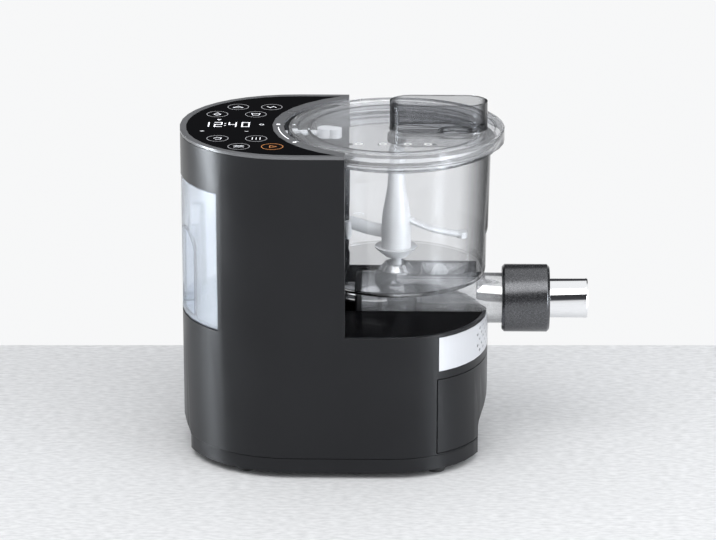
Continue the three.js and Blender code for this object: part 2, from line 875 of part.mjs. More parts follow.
function tankValve() {
  const back = rearX + tankDepth - tankWall - waterBore;
  const face = rearX + tankDepth + joinGap;
  const front = rearX + tankDepth + wall * 3;
  const stem = valveRadius - tankWall / 2 - joinGap;
  const profile = closed([
    [waterBore, back],
    [stem, back],
    [stem, face],
    [stem, front - waterBore],
    [stem - waterBore, front],
    [waterBore, front],
  ]);
  return turnedAlong(profile, valveY, valveZ, fineSteps);
}

function tankSocket() {
  const back = rearX + socketBack;
  const inner = valveRadius - tankWall / 2 + joinGap;
  const mid = back + socketLength / 2;
  const front = back + socketLength;
  const outer = valveRadius + wall;
  const profile = closed([
    [inner, back],
    [outer, back],
    [outer, mid],
    [socketNoseRadius, front],
    [waterBore / 2, front],
    [waterBore / 2, mid + waterBore],
    [inner, mid],
  ]);
  return turnedAlong(profile, valveY, valveZ, fineSteps);
}

// Drive

function toothedOutline(teeth, module, phase) {
  const pitchRadius = (teeth * module) / 2;
  const tip = pitchRadius + module * addendumShare;
  const root = pitchRadius - module * dedendumShare;
  const turn = (2 * Math.PI) / teeth;
  const points = [];
  for (let i = 0; i < teeth; i += 1) {
    const middle = phase + i * turn;
    const corners = [[root, -rootShare], [tip, -tipShare], [tip, tipShare], [root, rootShare]];
    for (const [radius, share] of corners) {
      const angle = middle + share * turn;
      points.push(new THREE.Vector2(radius * Math.cos(angle), radius * Math.sin(angle)));
    }
  }
  return points;
}

function levelGear(teeth, z, phase, x0, x1) {
  const outline = toothedOutline(teeth, gearModule, phase);
  return frontPrism(outline, x0, x1).translate(0, 0, z);
}

function driveGear() {
  const gear = levelGear(gearTeeth, axleHeight, -Math.PI / 2, axisX + gearBack, axisX + gearFront);
  const shaft = levelRod(0, axleHeight, driveShaft, axisX + gearBack - wall * 2, axisX + dogBack + overcut);
  const lightening = [];
  const holeAt = ((gearTeeth * gearModule) / 2) * lighteningShare;
  const back = axisX + gearBack - overcut;
  const front = axisX + gearFront + overcut;
  for (let i = 0; i < lighteningHoles; i += 1) {
    const angle = (2 * Math.PI * i) / lighteningHoles;
    const y = holeAt * Math.cos(angle);
    const z = axleHeight + holeAt * Math.sin(angle);
    lightening.push(levelRod(y, z, lighteningRadius, back, front, smallSteps));
  }
  return gear.subtract(joined(lightening)).add(shaft);
}

function driveDog() {
  const disc = levelRod(0, axleHeight, dogRadius, axisX + dogBack, axisX + dogFront, fineSteps);
  const key = levelRod(0, axleHeight, keyRadius, axisX + dogFront - overcut, axisX + keyEnd, keySides);
  const seatEnd = axisX + dogBack + overcut * 2;
  const seat = levelRod(0, axleHeight, driveShaft + joinGap, axisX + dogBack - overcut, seatEnd);
  return disc.add(key).subtract(seat);
}

function motorRotor() {
  const shaft = levelRod(0, motorZ, motorShaft, axisX + motorBack - wall, axisX + gearFront);
  const core = levelRod(0, motorZ, rotorRadius, axisX + coreBack, axisX + coreFront);
  return shaft.add(core);
}

function motorPinion() {
  const toothStep = Math.PI / pinionTeeth;
  const pinion = levelGear(pinionTeeth, motorZ, Math.PI / 2 + toothStep, axisX + gearBack, axisX + gearFront);
  const back = axisX + gearBack - overcut;
  const seat = levelRod(0, motorZ, motorShaft + joinGap, back, axisX + gearFront + overcut);
  return pinion.subtract(seat);
}

function motorCan() {
  const back = axisX + motorBack;
  const front = axisX + motorFront;
  const profile = closed([
    [motorShaft + slideGap, back],
    [motorRadius - wall * 2, back],
    [motorRadius, back + wall * 2],
    [motorRadius, front],
    [motorRadius - wall, front],
    [motorRadius - wall, back + wall * 2],
    [motorRadius - wall * 2, back + wall],
    [motorShaft + slideGap, back + wall],
  ]);
  return turnedAlong(profile, 0, motorZ);
}

function motorStator() {
  const outer = motorRadius - wall - joinGap;
  return turnedAlong(ring(outer - statorThickness, outer, axisX + coreBack, axisX + coreFront), 0, motorZ);
}

function gearPlate() {
  const back = axisX + motorFront + joinGap;
  const front = axisX + gearBack - joinGap * 3;
  const plate = block(back, front, -plateHalf, plateHalf, motorZ - motorRadius, axleHeight + plateHalf);
  const shaftHole = levelRod(0, axleHeight, driveShaft + slideGap, back - overcut, front + overcut);
  const motorHole = levelRod(0, motorZ, motorShaft + slideGap, back - overcut, front + overcut);
  return plate.subtract(shaftHole).subtract(motorHole);
}

// Fan

function fanFrame() {
  const half = fanRadius + wall;
  const back = axisX + fanBack;
  const front = axisX + fanFront;
  const box = block(back, front, -half, half, fanZ - half, fanZ + half);
  const hole = levelRod(0, fanZ, fanRadius + slideGap * 2, back - overcut, front + overcut, turnSteps);
  const rim = half - slideGap;
  const bar = block(back, back + overcut, -overcut, overcut, fanZ - rim, fanZ + rim);
  const cross = block(back, back + overcut, -rim, rim, fanZ - overcut, fanZ + overcut);
  const pin = levelRod(0, fanZ, overcut, back, back + wall * 2, smallSteps);
  const stand = block(back, front, -half / 2, half / 2, footHeight + wall + joinGap, fanZ - half + joinGap);
  return box.subtract(hole).add(bar).add(cross).add(pin).add(stand);
}

function fanRotor() {
  const back = axisX + fanBack + overcut + slideGap;
  const front = axisX + fanFront - slideGap;
  const hub = levelRod(0, fanZ, fanHub, back, front);
  const well = levelRod(0, fanZ, overcut + slideGap, back - overcut, back + wall * 2, smallSteps);
  const blades = [];
  const lean = Math.PI / 5;
  const chord = (front - back) * chordShare;
  for (let i = 0; i < fanBlades; i += 1) {
    const blade = new THREE.BoxGeometry(chord, bladeThickness, fanRadius - fanHub + overcut);
    blade.rotateZ(lean).translate((back + front) / 2, 0, (fanRadius + fanHub - overcut) / 2);
    blade.rotateX((2 * Math.PI * i) / fanBlades).translate(0, 0, fanZ);
    blades.push(solid(blade));
  }
  return hub.add(joined(blades)).subtract(well);
}

// Water line

function waterPump() {
  const front = axisX + pumpFront;
  const body = levelRod(pumpY, pumpZ, pumpRadius, axisX + pumpBack, front);
  const outlet = levelRod(pumpY, pumpZ, stubRadius, front - overcut, front + stubLength, smallSteps);
  const inletTop = pumpZ + pumpRadius + stubLength;
  const inlet = uprightRod(axisX + pumpInletAt, pumpY, stubRadius, pumpZ, inletTop, smallSteps);
  return body.add(outlet).add(inlet);
}

function suctionHose() {
  const startX = rearX + socketBack + socketLength + joinGap;
  const endZ = pumpZ + pumpRadius + stubLength + joinGap;
  const inletX = axisX + pumpInletAt;
  return hoseAlong([
    [startX, valveY, valveZ],
    [startX + hoseRadius, valveY, valveZ],
    [startX + pumpRadius, valveY, valveZ - pumpRadius / 2],
    [inletX, pumpY, (valveZ + endZ) / 2],
    [inletX, pumpY, endZ + hoseRadius * 2],
    [inletX, pumpY, endZ],
  ], hoseRadius);
}

function pressureHose() {
  const startX = axisX + pumpFront + stubLength + joinGap;
  const endX = axisX + spoutStem;
  const endZ = spoutZ - spoutDrop - joinGap;
  const turns = hoseTurnShares.map(([x, y, z]) => [
    axisX + pumpFront + (spoutStem - pumpFront) * x,
    hoseY * y,
    pumpZ + (endZ - pumpZ) * z,
  ]);
  return hoseAlong([
    [startX, pumpY, pumpZ],
    [startX + hoseRadius, pumpY, pumpZ],
    [startX + hoseRadius * 3, pumpY, pumpZ + hoseRadius * 3],
    ...turns,
    [endX, 0, endZ - hoseRadius * 2],
    [endX, 0, endZ],
  ], hoseRadius);
}

function waterSpout() {
  const back = axisX + spoutStem - spoutRadius;
  const front = axisX - lidRadius - slideGap;
  const stem = uprightRod(axisX + spoutStem, 0, hoseRadius, spoutZ - spoutDrop, spoutZ, smallSteps);
  const length = front - back;
  const tube = levelRod(0, spoutZ, spoutRadius, back, front, smallSteps);
  const bore = levelRod(0, spoutZ, waterBore, back + length / 4, front + overcut, smallSteps);
  return tube.add(stem).subtract(bore);
}

// Drawer

function drawerFront() {
  const skin = prism(bodyOutline(), drawerLow, drawerHigh).subtract(scoops()).intersect(drawerSpace(0));
  const inner = prism(bodyOutline(-drawerWall), drawerLow - overcut, drawerHigh + overcut);
  return skin.subtract(inner.subtract(scoops(drawerWall)));
}

function drawerBox() {
  const back = axisX + drawerBoxBack;
  const inset = drawerWall + joinGap;
  const room = prism(bodyOutline(-inset), 0, bodyHeight).subtract(scoops(inset));
  const slab = block(back, frontX, -drawerBoxHalf, drawerBoxHalf, drawerBoxLow, drawerBoxHigh);
  const deeper = inset + drawerBoxWall;
  const roomIn = prism(bodyOutline(-deeper), 0, bodyHeight).subtract(scoops(deeper));
  const inner = block(
    back + drawerBoxWall,
    frontX,
    -drawerBoxHalf + drawerBoxWall,
    drawerBoxHalf - drawerBoxWall,
    drawerBoxLow + drawerBoxWall,
    bodyHeight,
  );
  return slab.intersect(room).subtract(inner.intersect(roomIn));
}

function drawerRail(side) {
  const back = axisX + drawerBoxBack;
  const front = axisX + drawerFrom - wall;
  const near = side * (drawerBoxHalf + slideGap);
  const far = side * (drawerBoxHalf + slideGap + wall);
  const under = side * (drawerBoxHalf - wall * 3);
  const low = footHeight + wall + joinGap;
  const shelf = drawerBoxLow - joinGap;
  const span = (a, b, z0, z1) => block(back, front, Math.min(a, b), Math.max(a, b), z0, z1);
  return span(near, far, low, drawerBoxLow + wall * 6).add(span(under, far, shelf - wall, shelf));
}

// Bowl and extruder

function bowlShell() {
  const soft = bowlEdgeRound * edgeShare;
  const profile = closed([
    [shaftTopRadius, bowlFloor],
    [bowlLowRadius - bowlEdgeRound, bowlFloor],
    [bowlLowRadius - soft, bowlFloor + soft],
    [bowlLowRadius, bowlFloor + bowlEdgeRound],
    [bowlStepRadius, bowlStep],
    [bowlMidRadius, bowlStep + bowlFloorThickness],
    [bowlTopRadius, bowlRimLow],
    [bowlRimRadius, bowlRimLow],
    [bowlRimRadius, bowlRimHigh],
    [bowlTopRadius - bowlWall, bowlRimHigh],
    [bowlMidRadius - bowlWall, bowlStep + bowlFloorThickness],
    [bowlStepRadius - bowlWall, bowlStep],
    [bowlLowRadius - bowlWall, bowlFloor + bowlEdgeRound],
    [bowlLowRadius - bowlEdgeRound, bowlFloor + bowlFloorThickness],
    [shaftTopRadius, bowlFloor + bowlFloorThickness],
  ]);
  const shell = turnedUp(profile, axisX, roundSteps);
  const slab = block(rearX, frontX, -halfWidth, halfWidth, bowlFloor - overcut, domeTop + overcut);
  const seat = barrelOutside(joinGap).intersect(slab);
  return shell.subtract(seat);
}

// The cast outside of the extruder: level barrel, chute walls up to the bowl floor, and the round gear dome.
function barrelOutside(grow = 0) {
  const back = axisX + barrelBack - grow;
  const barrel = levelRod(0, axleHeight, barrelRadius + grow, back, axisX + collarBack, turnSteps);
  const half = chuteOuterHalf + grow;
  const floorTop = bowlFloor + bowlFloorThickness;
  const chute = block(axisX, axisX + chuteBlockFront + grow, -half, half, axleHeight, floorTop);
  const bell = domeShares.map(([radius, height]) => [
    domeBaseRadius * radius + grow,
    gearRoomHigh + (domeTop - gearRoomHigh) * height,
  ]);
  const foot = [[0, axleHeight], [domeBaseRadius + grow, axleHeight]];
  const crown = [[domeTopRadius + grow, domeTop], [0, domeTop]];
  const dome = turnedUp([...foot, ...bell, ...crown], axisX, turnSteps);
  return barrel.add(chute).add(dome);
}

function extruderBarrel() {
  const front = axisX + barrelFront;
  const collar = levelRod(0, axleHeight, collarRadius, axisX + collarBack - joinGap, front, turnSteps);
  const boreBack = axisX + flightFrom - overcut;
  const bore = levelRod(0, axleHeight, barrelBore, boreBack, front + overcut, turnSteps);
  const gearRoom = uprightRod(axisX, 0, gearRoomRadius, gearRoomLow, gearRoomHigh, turnSteps);
  const holeLow = gearRoomHigh - overcut;
  const spindleHole = uprightRod(axisX, 0, shaftTopRadius + slideGap, holeLow, domeTop + overcut);
  const socketBackX = axisX + barrelBack - overcut;
  const socketHole = levelRod(0, axleHeight, bossRadius + slideGap, socketBackX, axisX - bevelFar / 2);
  const neckHole = levelRod(0, axleHeight, augerNeck + slideGap, axisX, axisX + flightFrom);
  const floorTop = bowlFloor + bowlFloorThickness;
  const mouth = sidePrism([
    new THREE.Vector2(axisX + chuteFrom, floorTop + overcut),
    new THREE.Vector2(axisX + chuteFrom + overcut, floorTop - overcut),
    new THREE.Vector2(axisX + valleyX, valleyZ),
    new THREE.Vector2(axisX + chuteTo, floorTop),
    new THREE.Vector2(axisX + chuteTo, floorTop + overcut),
  ], -chuteHalf, chuteHalf);
  const cuts = joined([bore, gearRoom, spindleHole, socketHole, neckHole, mouth]);
  return barrelOutside().add(collar).subtract(cuts);
}

function barrelFlange() {
  const profile = closed([
    [bossRadius + slideGap, axisX + flangeBack],
    [flangeRadius - flangeRound, axisX + flangeBack],
    [flangeRadius, axisX + flangeBack + flangeRound],
    [flangeRadius, axisX + barrelBack - joinGap],
    [bossRadius + slideGap, axisX + barrelBack - joinGap],
  ]);
  return turnedAlong(profile, 0, axleHeight, turnSteps);
}

// One turn of flight after another, swept round the shaft as a strip whose edges lie on helices.
function helixFlight(inner, outer, from, to, pitch, thickness) {
  const count = Math.round(((to - from) / pitch) * flightSteps);
  const numbers = [];
  const corners = [];
  for (let i = 0; i <= count; i += 1) {
    const along = from + ((to - from) * i) / count;
    const angle = (2 * Math.PI * (along - from)) / pitch;
    const edge = [
      [inner, thickness],
      [outer, thickness / 2],
      [outer, -thickness / 2],
      [inner, -thickness],
    ];
    for (const [radius, shift] of edge) {
      numbers.push(along + shift, radius * Math.cos(angle), radius * Math.sin(angle));
    }
  }
  for (let i = 0; i < count; i += 1) {
    for (let k = 0; k < 4; k += 1) {
      const a = 4 * i + k;
      const b = 4 * i + ((k + 1) % 4);
      corners.push(a, b, a + 4, b, b + 4, a + 4);
    }
  }
  const last = 4 * count;
  corners.push(0, 3, 2, 0, 2, 1, last, last + 1, last + 2, last, last + 2, last + 3);
  const geometry = new THREE.BufferGeometry();
  geometry.setAttribute('position', new THREE.BufferAttribute(Float32Array.from(numbers), 3));
  geometry.setIndex(corners);
  return solid(geometry);
}

function auger() {
  const back = axisX + barrelBack - joinGap;
  const neckEnd = axisX + flightFrom - joinGap;
  const profile = [
    [0, back],
    [bossRadius, back],
    [bossRadius, axisX + bossEnd],
    [augerNeck, axisX + bossEnd],
    [augerNeck, neckEnd],
    [augerShaft, neckEnd],
    [augerTipRadius, axisX + augerNose],
    [0, axisX + augerNose],
  ];
  const core = turned(profile, fineSteps).rotateZ(-Math.PI / 2).rotateX(Math.PI / fineSteps);
  const socket = levelRod(0, 0, keyRadius + slideGap, back - overcut, axisX + keyEnd + overcut, keySides);
  const sweep = helixFlight(
    augerShaft / 2,
    augerFlight,
    axisX + flightFrom + flightThickness,
    axisX + flightTo - flightThickness,
    augerPitch,
    flightThickness,
  );
  return solid(core).add(sweep).subtract(socket).translate(0, 0, axleHeight);
}

// A bevel wheel as a toothed outline drawn in at the far end towards the point where the two axles cross.
function bevel(teeth, near, far, slope, depth, phase) {
  const rings = [near, far].map((distance) => {
    const points = [];
    const turn = (2 * Math.PI) / teeth;
    const shares = [
      [-depth, -bevelRootShare],
      [depth, -bevelTipShare],
      [depth, bevelTipShare],
      [-depth, bevelRootShare],
    ];
    for (let i = 0; i < teeth; i += 1) {
      for (const [lift, share] of shares) {
        const angle = phase + (i + share) * turn;
        const radius = distance * (slope + lift);
        points.push([radius * Math.cos(angle), radius * Math.sin(angle), distance]);
      }
    }
    return points;
  });
  return loft(rings);
}

function loft(rings) {
  const count = rings[0].length;
  const numbers = rings.flat(2);
  const corners = [];
  for (let r = 0; r + 1 < rings.length; r += 1) {
    for (let i = 0; i < count; i += 1) {
      const a = r * count + i;
      const b = r * count + ((i + 1) % count);
      corners.push(a, b, a + count, b, b + count, a + count);
    }
  }
  const flat = rings.map((points) => points.map(([x, y]) => new THREE.Vector2(x, y)));
  for (const [a, b, c] of THREE.ShapeUtils.triangulateShape(flat[0], [])) {
    corners.push(a, c, b);
  }
  const top = count * (rings.length - 1);
  for (const [a, b, c] of THREE.ShapeUtils.triangulateShape(flat[rings.length - 1], [])) {
    corners.push(top + a, top + b, top + c);
  }
  const geometry = new THREE.BufferGeometry();
  geometry.setAttribute('position', new THREE.BufferAttribute(Float32Array.from(numbers), 3));
  geometry.setIndex(corners);
  return geometry;
}

function bevelPinion() {
  const cone = bevel(bevelTeeth, bevelNear, bevelFar, bevelTeeth / wheelTeeth, toothRise, 0);
  cone.rotateY(-Math.PI / 2).translate(axisX, 0, axleHeight);
  const seat = levelRod(0, axleHeight, augerNeck + joinGap, axisX - bevelFar - overcut, axisX);
  return solid(cone).subtract(seat);
}

function bevelWheel() {
  const slope = wheelTeeth / bevelTeeth;
  const far = bevelFar / slope;
  const cone = bevel(wheelTeeth, bevelNear / slope, far, slope, toothRise * slope ** 2, Math.PI / wheelTeeth);
  const wheel = solid(cone.translate(axisX, 0, axleHeight));
  const hubLow = axleHeight + far - overcut / 2;
  const hub = uprightRod(axisX, 0, wheelHubRadius, hubLow, gearRoomHigh - slideGap * 2);
  const seat = uprightRod(axisX, 0, spindleRadius + joinGap, 0, bodyHeight);
  return wheel.add(hub).subtract(seat);
}

function paddleLevel(share) {
  return paddleCollarLow + (paddlePinLow - paddleCollarLow) * share;
}

function paddle() {
  const low = paddleCollarLow;
  const rim = low + collarHeight;
  const pinRadiusTop = shaftTopRadius - overcut;
  const profile = [
    [0, axleHeight + bevelNear],
    [spindleRadius, axleHeight + bevelNear],
    [spindleRadius, low],
    [collarFootRadius, low],
    [paddleCollarRadius - overcut / 2, rim - overcut],
    [paddleCollarRadius, rim],
    [paddleCollarRadius - overcut, rim],
    [paddleHubRadius, rim - overcut / 2],
    ...hubShares.map(([radius, height]) => [paddleHubRadius * radius, paddleLevel(height)]),
    [shaftTopRadius, paddlePinLow - overcut / 2],
    [pinRadiusTop, paddlePinLow + overcut / 2],
    [pinRadiusTop, paddleTop],
    [0, paddleTop],
  ];
  const body = turned(profile, fineSteps).rotateX(Math.PI / 2).rotateZ(Math.PI / fineSteps);
  return joined([solid(body.translate(axisX, 0, 0)), longArm(), broadBlade()]);
}

// An arm whose route is given in shares of its reach, its sideways sweep and its rise.
function armAlong(shares, reach, sweep, from, to, halfWide, halfThick) {
  const rise = to - from;
  const points = shares.map(([x, y, z]) => new THREE.Vector3(axisX + reach * x, sweep * y, from + rise * z));
  const path = new THREE.CatmullRomCurve3(points);
  const section = new THREE.Shape();
  section.absellipse(0, 0, halfWide, halfThick, 0, 2 * Math.PI);
  const options = { steps: smallSteps - 2, curveSegments: 5, bevelEnabled: false, extrudePath: path };
  return solid(new THREE.ExtrudeGeometry(section, options));
}

function longArm() {
  const root = paddleLevel(armRootShare);
  const end = paddleLevel(armEndShare);
  const [low, high] = [end - armHalfThick, end + armHalfThick];
  const tip = uprightRod(axisX + armReach, armSweep, armHalfWide, low, high, smallSteps);
  return armAlong(armShares, armReach, armSweep, root, end, armHalfWide, armHalfThick).add(tip);
}

function broadBlade() {
  const root = paddleLevel(bladeRootShare);
  const end = paddleLevel(bladeEndShare);
  const low = paddleLevel(hookShare);
  const hook = cylinder(hookRadius, low, end, smallSteps, hookTopRadius).rotateX(Math.PI / 2);
  const tip = solid(hook.translate(axisX + bladeReach, bladeSweep, 0));
  const size = [bladeHalfWide, bladeHalfThick];
  return armAlong(bladeShares, bladeReach, bladeSweep, root, end, ...size).add(tip);
}

// Lid

function lidShell() {
  const discTop = lidDiscLow + lidDiscThickness;
  const inner = lidInnerRadius - lidWall;
  const profile = closed([
    [overcut, lidDiscLow],
    [inner, lidDiscLow],
    [inner, lidInnerLow],
    [lidInnerRadius, lidInnerLow],
    [lidInnerRadius, lidDiscLow],
    [lidRadius - lidWall, lidDiscLow],
    [lidRadius - lidWall, lidLow],
    [lidRadius, lidLow],
    [lidRadius, bodyHeight - joinGap * 3],
    [lidRadius - joinGap * 3, bodyHeight],
    [lidDiscRadius + joinGap * 3, bodyHeight],
    [lidDiscRadius, discTop],
    [overcut, discTop],
  ]);
  const shell = turnedUp(profile, axisX, roundSteps);
  const holeLow = lidDiscLow - joinGap;
  const hole = funnelSolid(funnelHalfLength + joinGap, funnelHalfWidth + joinGap, holeLow, discTop + overcut);
  const outside = axisX - lidRadius - overcut;
  const water = levelRod(0, spoutZ, ductRadius + joinGap, outside, axisX - inner + overcut, smallSteps);
  return shell.subtract(hole).subtract(water).subtract(lidVents());
}

function lidVents() {
  const low = lidDiscLow - overcut;
  const places = ventShares.map((share) => axisX + lidRadius * share);
  return joined(places.map((x) => uprightRod(x, ventSide, ventRadius, low, bodyHeight, pinSteps)));
}

function stadium(halfLength, halfWidth) {
  const reach = halfLength - halfWidth;
  const points = [];
  for (const [side, start] of [[1, -Math.PI / 2], [-1, Math.PI / 2]]) {
    for (let i = 0; i <= smallSteps; i += 1) {
      const angle = start + (Math.PI * i) / smallSteps;
      points.push(new THREE.Vector2(side * reach + halfWidth * Math.cos(angle), halfWidth * Math.sin(angle)));
    }
  }
  return points;
}

function funnelSolid(halfLength, halfWidth, z0, z1) {
  return prism(stadium(halfLength, halfWidth), z0, z1).translate(axisX + funnelCentre, 0, 0);
}

// Below the disc the funnel is drawn in to stay inside the lid's own skirt.
function lidFunnel() {
  const within = lidInnerRadius - lidWall - joinGap;
  const shelf = lidDiscLow + lidWall;
  const low = funnelSolid(funnelHalfLength, funnelHalfWidth, funnelLow, shelf);
  const outer = funnelSolid(funnelHalfLength, funnelHalfWidth, lidDiscLow, funnelTop).add(
    low.intersect(uprightRod(axisX, 0, within, funnelLow - overcut, shelf, roundSteps)),
  );
  const room = (z0, z1) => funnelSolid(funnelHalfLength - lidWall, funnelHalfWidth - lidWall, z0, z1);
  const drawnIn = uprightRod(axisX, 0, within - lidWall, funnelLow - overcut, shelf + overcut, roundSteps);
  const neck = room(funnelFloor + lidWall, shelf + overcut).intersect(drawnIn);
  const above = room(shelf, funnelTop + overcut).add(neck);
  const below = room(funnelLow - overcut, funnelFloor).intersect(drawnIn);
  const bossBore = shaftTopRadius - overcut + joinGap * 2;
  const boss = uprightRod(axisX, 0, bossBore + lidWall, funnelLow, funnelFloor + joinGap, fineSteps);
  const bore = uprightRod(axisX, 0, bossBore, funnelLow - overcut, funnelFloor, fineSteps);
  const at = axisX + funnelHoleAt;
  const collarTop = funnelFloor + lidWall * 2;
  const collar = uprightRod(at, 0, funnelHoleRadius + lidWall, funnelFloor + joinGap, collarTop, fineSteps);
  const mouth = uprightRod(at, 0, funnelHoleRadius, funnelLow - overcut, funnelTop, fineSteps);
  return outer.subtract(above).subtract(below).add(boss).add(collar).subtract(bore).subtract(mouth);
}

function lidSeal() {
  const low = bowlRimHigh + joinGap;
  return turnedUp(ring(bowlTopRadius - bowlWall, bowlRimRadius - overcut, low, low + sealThickness), axisX);
}

function lidPort() {
  const top = lidDiscLow - joinGap;
  const low = top - portDepth;
  const at = axisX + portAt;
  const tube = levelRod(0, spoutZ, ductRadius, axisX - lidRadius + lidWall, at, smallSteps);
  const big = uprightRod(at - portShift / 2, portShift / 4, portRadius, low, top);
  const small = uprightRod(at + portShift * 1.5, -portShift / 4, portSmallRadius, low, top);
  const bore = levelRod(0, spoutZ, waterBore, axisX - lidRadius, at, pinSteps);
  const drop = uprightRod(at, 0, waterBore, 0, spoutZ, pinSteps);
  return joined([tube, big, small]).subtract(bore).subtract(drop);
}

// Nozzle and ring nut

function ringNut() {
  const back = axisX + nutBack;
  const front = axisX + nutFront;
  const bore = nozzleRadius + slideGap;
  const profile = closed([
    [nutBore, back],
    [nutRadius - nutRound, back],
    [nutRadius, back + nutRound],
    [nutRadius, front - nutRound],
    [nutRadius - nutRound, front],
    [bore, front],
    [bore, front - nutLip],
    [nutBore, front - nutLip],
  ]);
  return turnedAlong(profile, 0, axleHeight, roundSteps);
}

function dieDisc() {
  const back = axisX + barrelFront + joinGap;
  const front = back + dieThickness;
  const disc = levelRod(0, axleHeight, collarRadius, back, front, turnSteps);
  const reach = nozzleBore * dieHoleShare;
  const cuts = [levelRod(0, axleHeight, dieHoleRadius, back - overcut, front + overcut, smallSteps)];
  for (let i = 0; i < dieHoles; i += 1) {
    const angle = (2 * Math.PI * i) / dieHoles;
    const y = reach * Math.cos(angle);
    const z = axleHeight + reach * Math.sin(angle);
    cuts.push(levelRod(y, z, dieHoleRadius, back - overcut, front + overcut, smallSteps));
  }
  return disc.subtract(joined(cuts));
}

function nozzleTube() {
  const back = axisX + barrelFront + dieThickness + joinGap * 2;
  const lipBack = axisX + nutFront - nutLip - joinGap;
  const tip = nozzleTipX;
  const thin = nozzleRadius - nozzleBore;
  const profile = closed([
    [nozzleBore, back],
    [collarRadius, back],
    [collarRadius, back + thin * 2],
    [nozzleRadius + thin, back + thin * 4],
    [nozzleRadius, back + thin * 5],
    [nozzleRadius, lipBack],
    [nozzleRadius, tip - nozzleLip * 2],
    [nozzleRadius + nozzleLip / 3, tip - nozzleLip],
    [nozzleRadius, tip - nozzleLip / 4],
    [nozzleRadius - thin / 2, tip],
    [nozzleBore, tip - nozzleLip],
  ]);
  return turnedAlong(profile, 0, axleHeight, turnSteps);
}

// Assembly

const anthracite = paint('#39393c', 0.42, 0.25);
const trimGrey = paint('#6d6e72', 0.35, 0.5);
const blackGlass = paint('#060607', 0.08, 0);
const glossBlack = paint('#0b0b0c', 0.15, 0);
const matteBlack = paint('#151516', 0.6, 0);
const smokyClear = paint('#9a9a9e', 0.08, 0);
const paleClear = paint('#c9d3dd', 0.1, 0);
const milkWhite = paint('#e6e7e8', 0.4, 0);
const brightSteel = paint('#eceef2', 0.18, 1);
const darkSteel = paint('#7b7d80', 0.35, 1);
const graphite = paint('#55565a', 0.55, 0.3);
const rubberBlack = paint('#101010', 0.8, 0);
const circuitGreen = paint('#1d4a34', 0.5, 0.1);
const plainWhite = paint('#d8dadc', 0.45, 0);

place('housing_shell', housingShell(), anthracite);
place('base_pan', basePan(), anthracite.clone());
place('top_trim', topTrim(), trimGrey);
place('control_glass', controlGlass(), blackGlass);
place('control_board', controlBoard(), circuitGreen);
place('display_module', displayModule(), matteBlack.clone());
place('bowl_platform', bowlPlatform(), glossBlack);
place('vent_strip', ventStrip(), brightSteel.clone());
place('power_inlet', powerInlet(), matteBlack.clone());
place('tank_bay', tankBay(), matteBlack.clone());
place('tank_socket', tankSocket(), plainWhite.clone());
footPlaces().forEach(([x, y], i) => place(`foot_${i + 1}`, foot(x, y), rubberBlack.clone()));
screwPlaces().forEach(([x, y], i) => place(`pan_screw_${i + 1}`, panScrew(x, y), darkSteel.clone()));
place('motor_can', motorCan(), darkSteel.clone());
place('motor_stator', motorStator(), graphite.clone());
place('gear_plate', gearPlate(), darkSteel.clone());
place('fan_frame', fanFrame(), matteBlack.clone());
place('water_pump', waterPump(), plainWhite.clone());
place('suction_hose', suctionHose(), paleClear.clone());
place('pressure_hose', pressureHose(), paleClear.clone());
place('water_spout', waterSpout(), plainWhite.clone());
place('drawer_rail_left', drawerRail(1), matteBlack.clone());
place('drawer_rail_right', drawerRail(-1), matteBlack.clone());

place('motor_rotor', motorRotor(), darkSteel.clone());
place('motor_pinion', motorPinion(), brightSteel.clone());
place('drive_gear', driveGear(), plainWhite.clone());
place('drive_dog', driveDog(), brightSteel.clone());
place('fan_rotor', fanRotor(), matteBlack.clone());

place('water_tank', waterTank(), paleClear.clone());
place('tank_valve', tankValve(), plainWhite.clone());
place('drawer_front', drawerFront(), anthracite.clone());
place('drawer_box', drawerBox(), matteBlack.clone());

place('bowl_shell', bowlShell(), smokyClear.clone());
place('extruder_barrel', extruderBarrel(), smokyClear.clone());
place('barrel_flange', barrelFlange(), matteBlack.clone());
place('auger', auger(), milkWhite.clone());
place('bevel_pinion', bevelPinion(), milkWhite.clone());
place('paddle', paddle(), milkWhite.clone());
place('bevel_wheel', bevelWheel(), milkWhite.clone());
place('lid_seal', lidSeal(), rubberBlack.clone());
place('lid_shell', lidShell(), smokyClear.clone());
place('lid_funnel', lidFunnel(), smokyClear.clone());
place('lid_port', lidPort(), milkWhite.clone());
place('die_disc', dieDisc(), milkWhite.clone());
place('nozzle_tube', nozzleTube(), brightSteel.clone());
place('ring_nut', ringNut(), graphite.clone());

export default group;
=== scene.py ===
"""Electric pasta maker: materials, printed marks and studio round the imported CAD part."""

import math

import bmesh
import bpy
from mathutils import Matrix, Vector

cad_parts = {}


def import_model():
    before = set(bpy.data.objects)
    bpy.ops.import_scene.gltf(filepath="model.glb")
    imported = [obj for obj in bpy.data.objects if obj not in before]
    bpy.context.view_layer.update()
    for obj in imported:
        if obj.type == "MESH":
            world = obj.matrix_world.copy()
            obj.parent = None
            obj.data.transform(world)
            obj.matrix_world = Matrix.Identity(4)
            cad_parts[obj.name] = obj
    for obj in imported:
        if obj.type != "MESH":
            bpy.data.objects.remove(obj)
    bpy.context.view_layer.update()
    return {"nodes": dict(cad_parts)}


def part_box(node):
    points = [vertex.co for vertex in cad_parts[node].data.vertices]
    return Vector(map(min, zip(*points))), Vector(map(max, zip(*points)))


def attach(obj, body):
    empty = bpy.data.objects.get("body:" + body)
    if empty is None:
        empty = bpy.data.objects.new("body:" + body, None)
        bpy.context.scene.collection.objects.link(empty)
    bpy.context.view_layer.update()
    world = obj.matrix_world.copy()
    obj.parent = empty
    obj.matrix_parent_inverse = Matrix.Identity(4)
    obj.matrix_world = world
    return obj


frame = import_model()
MM = 0.001

# Places read from the frame

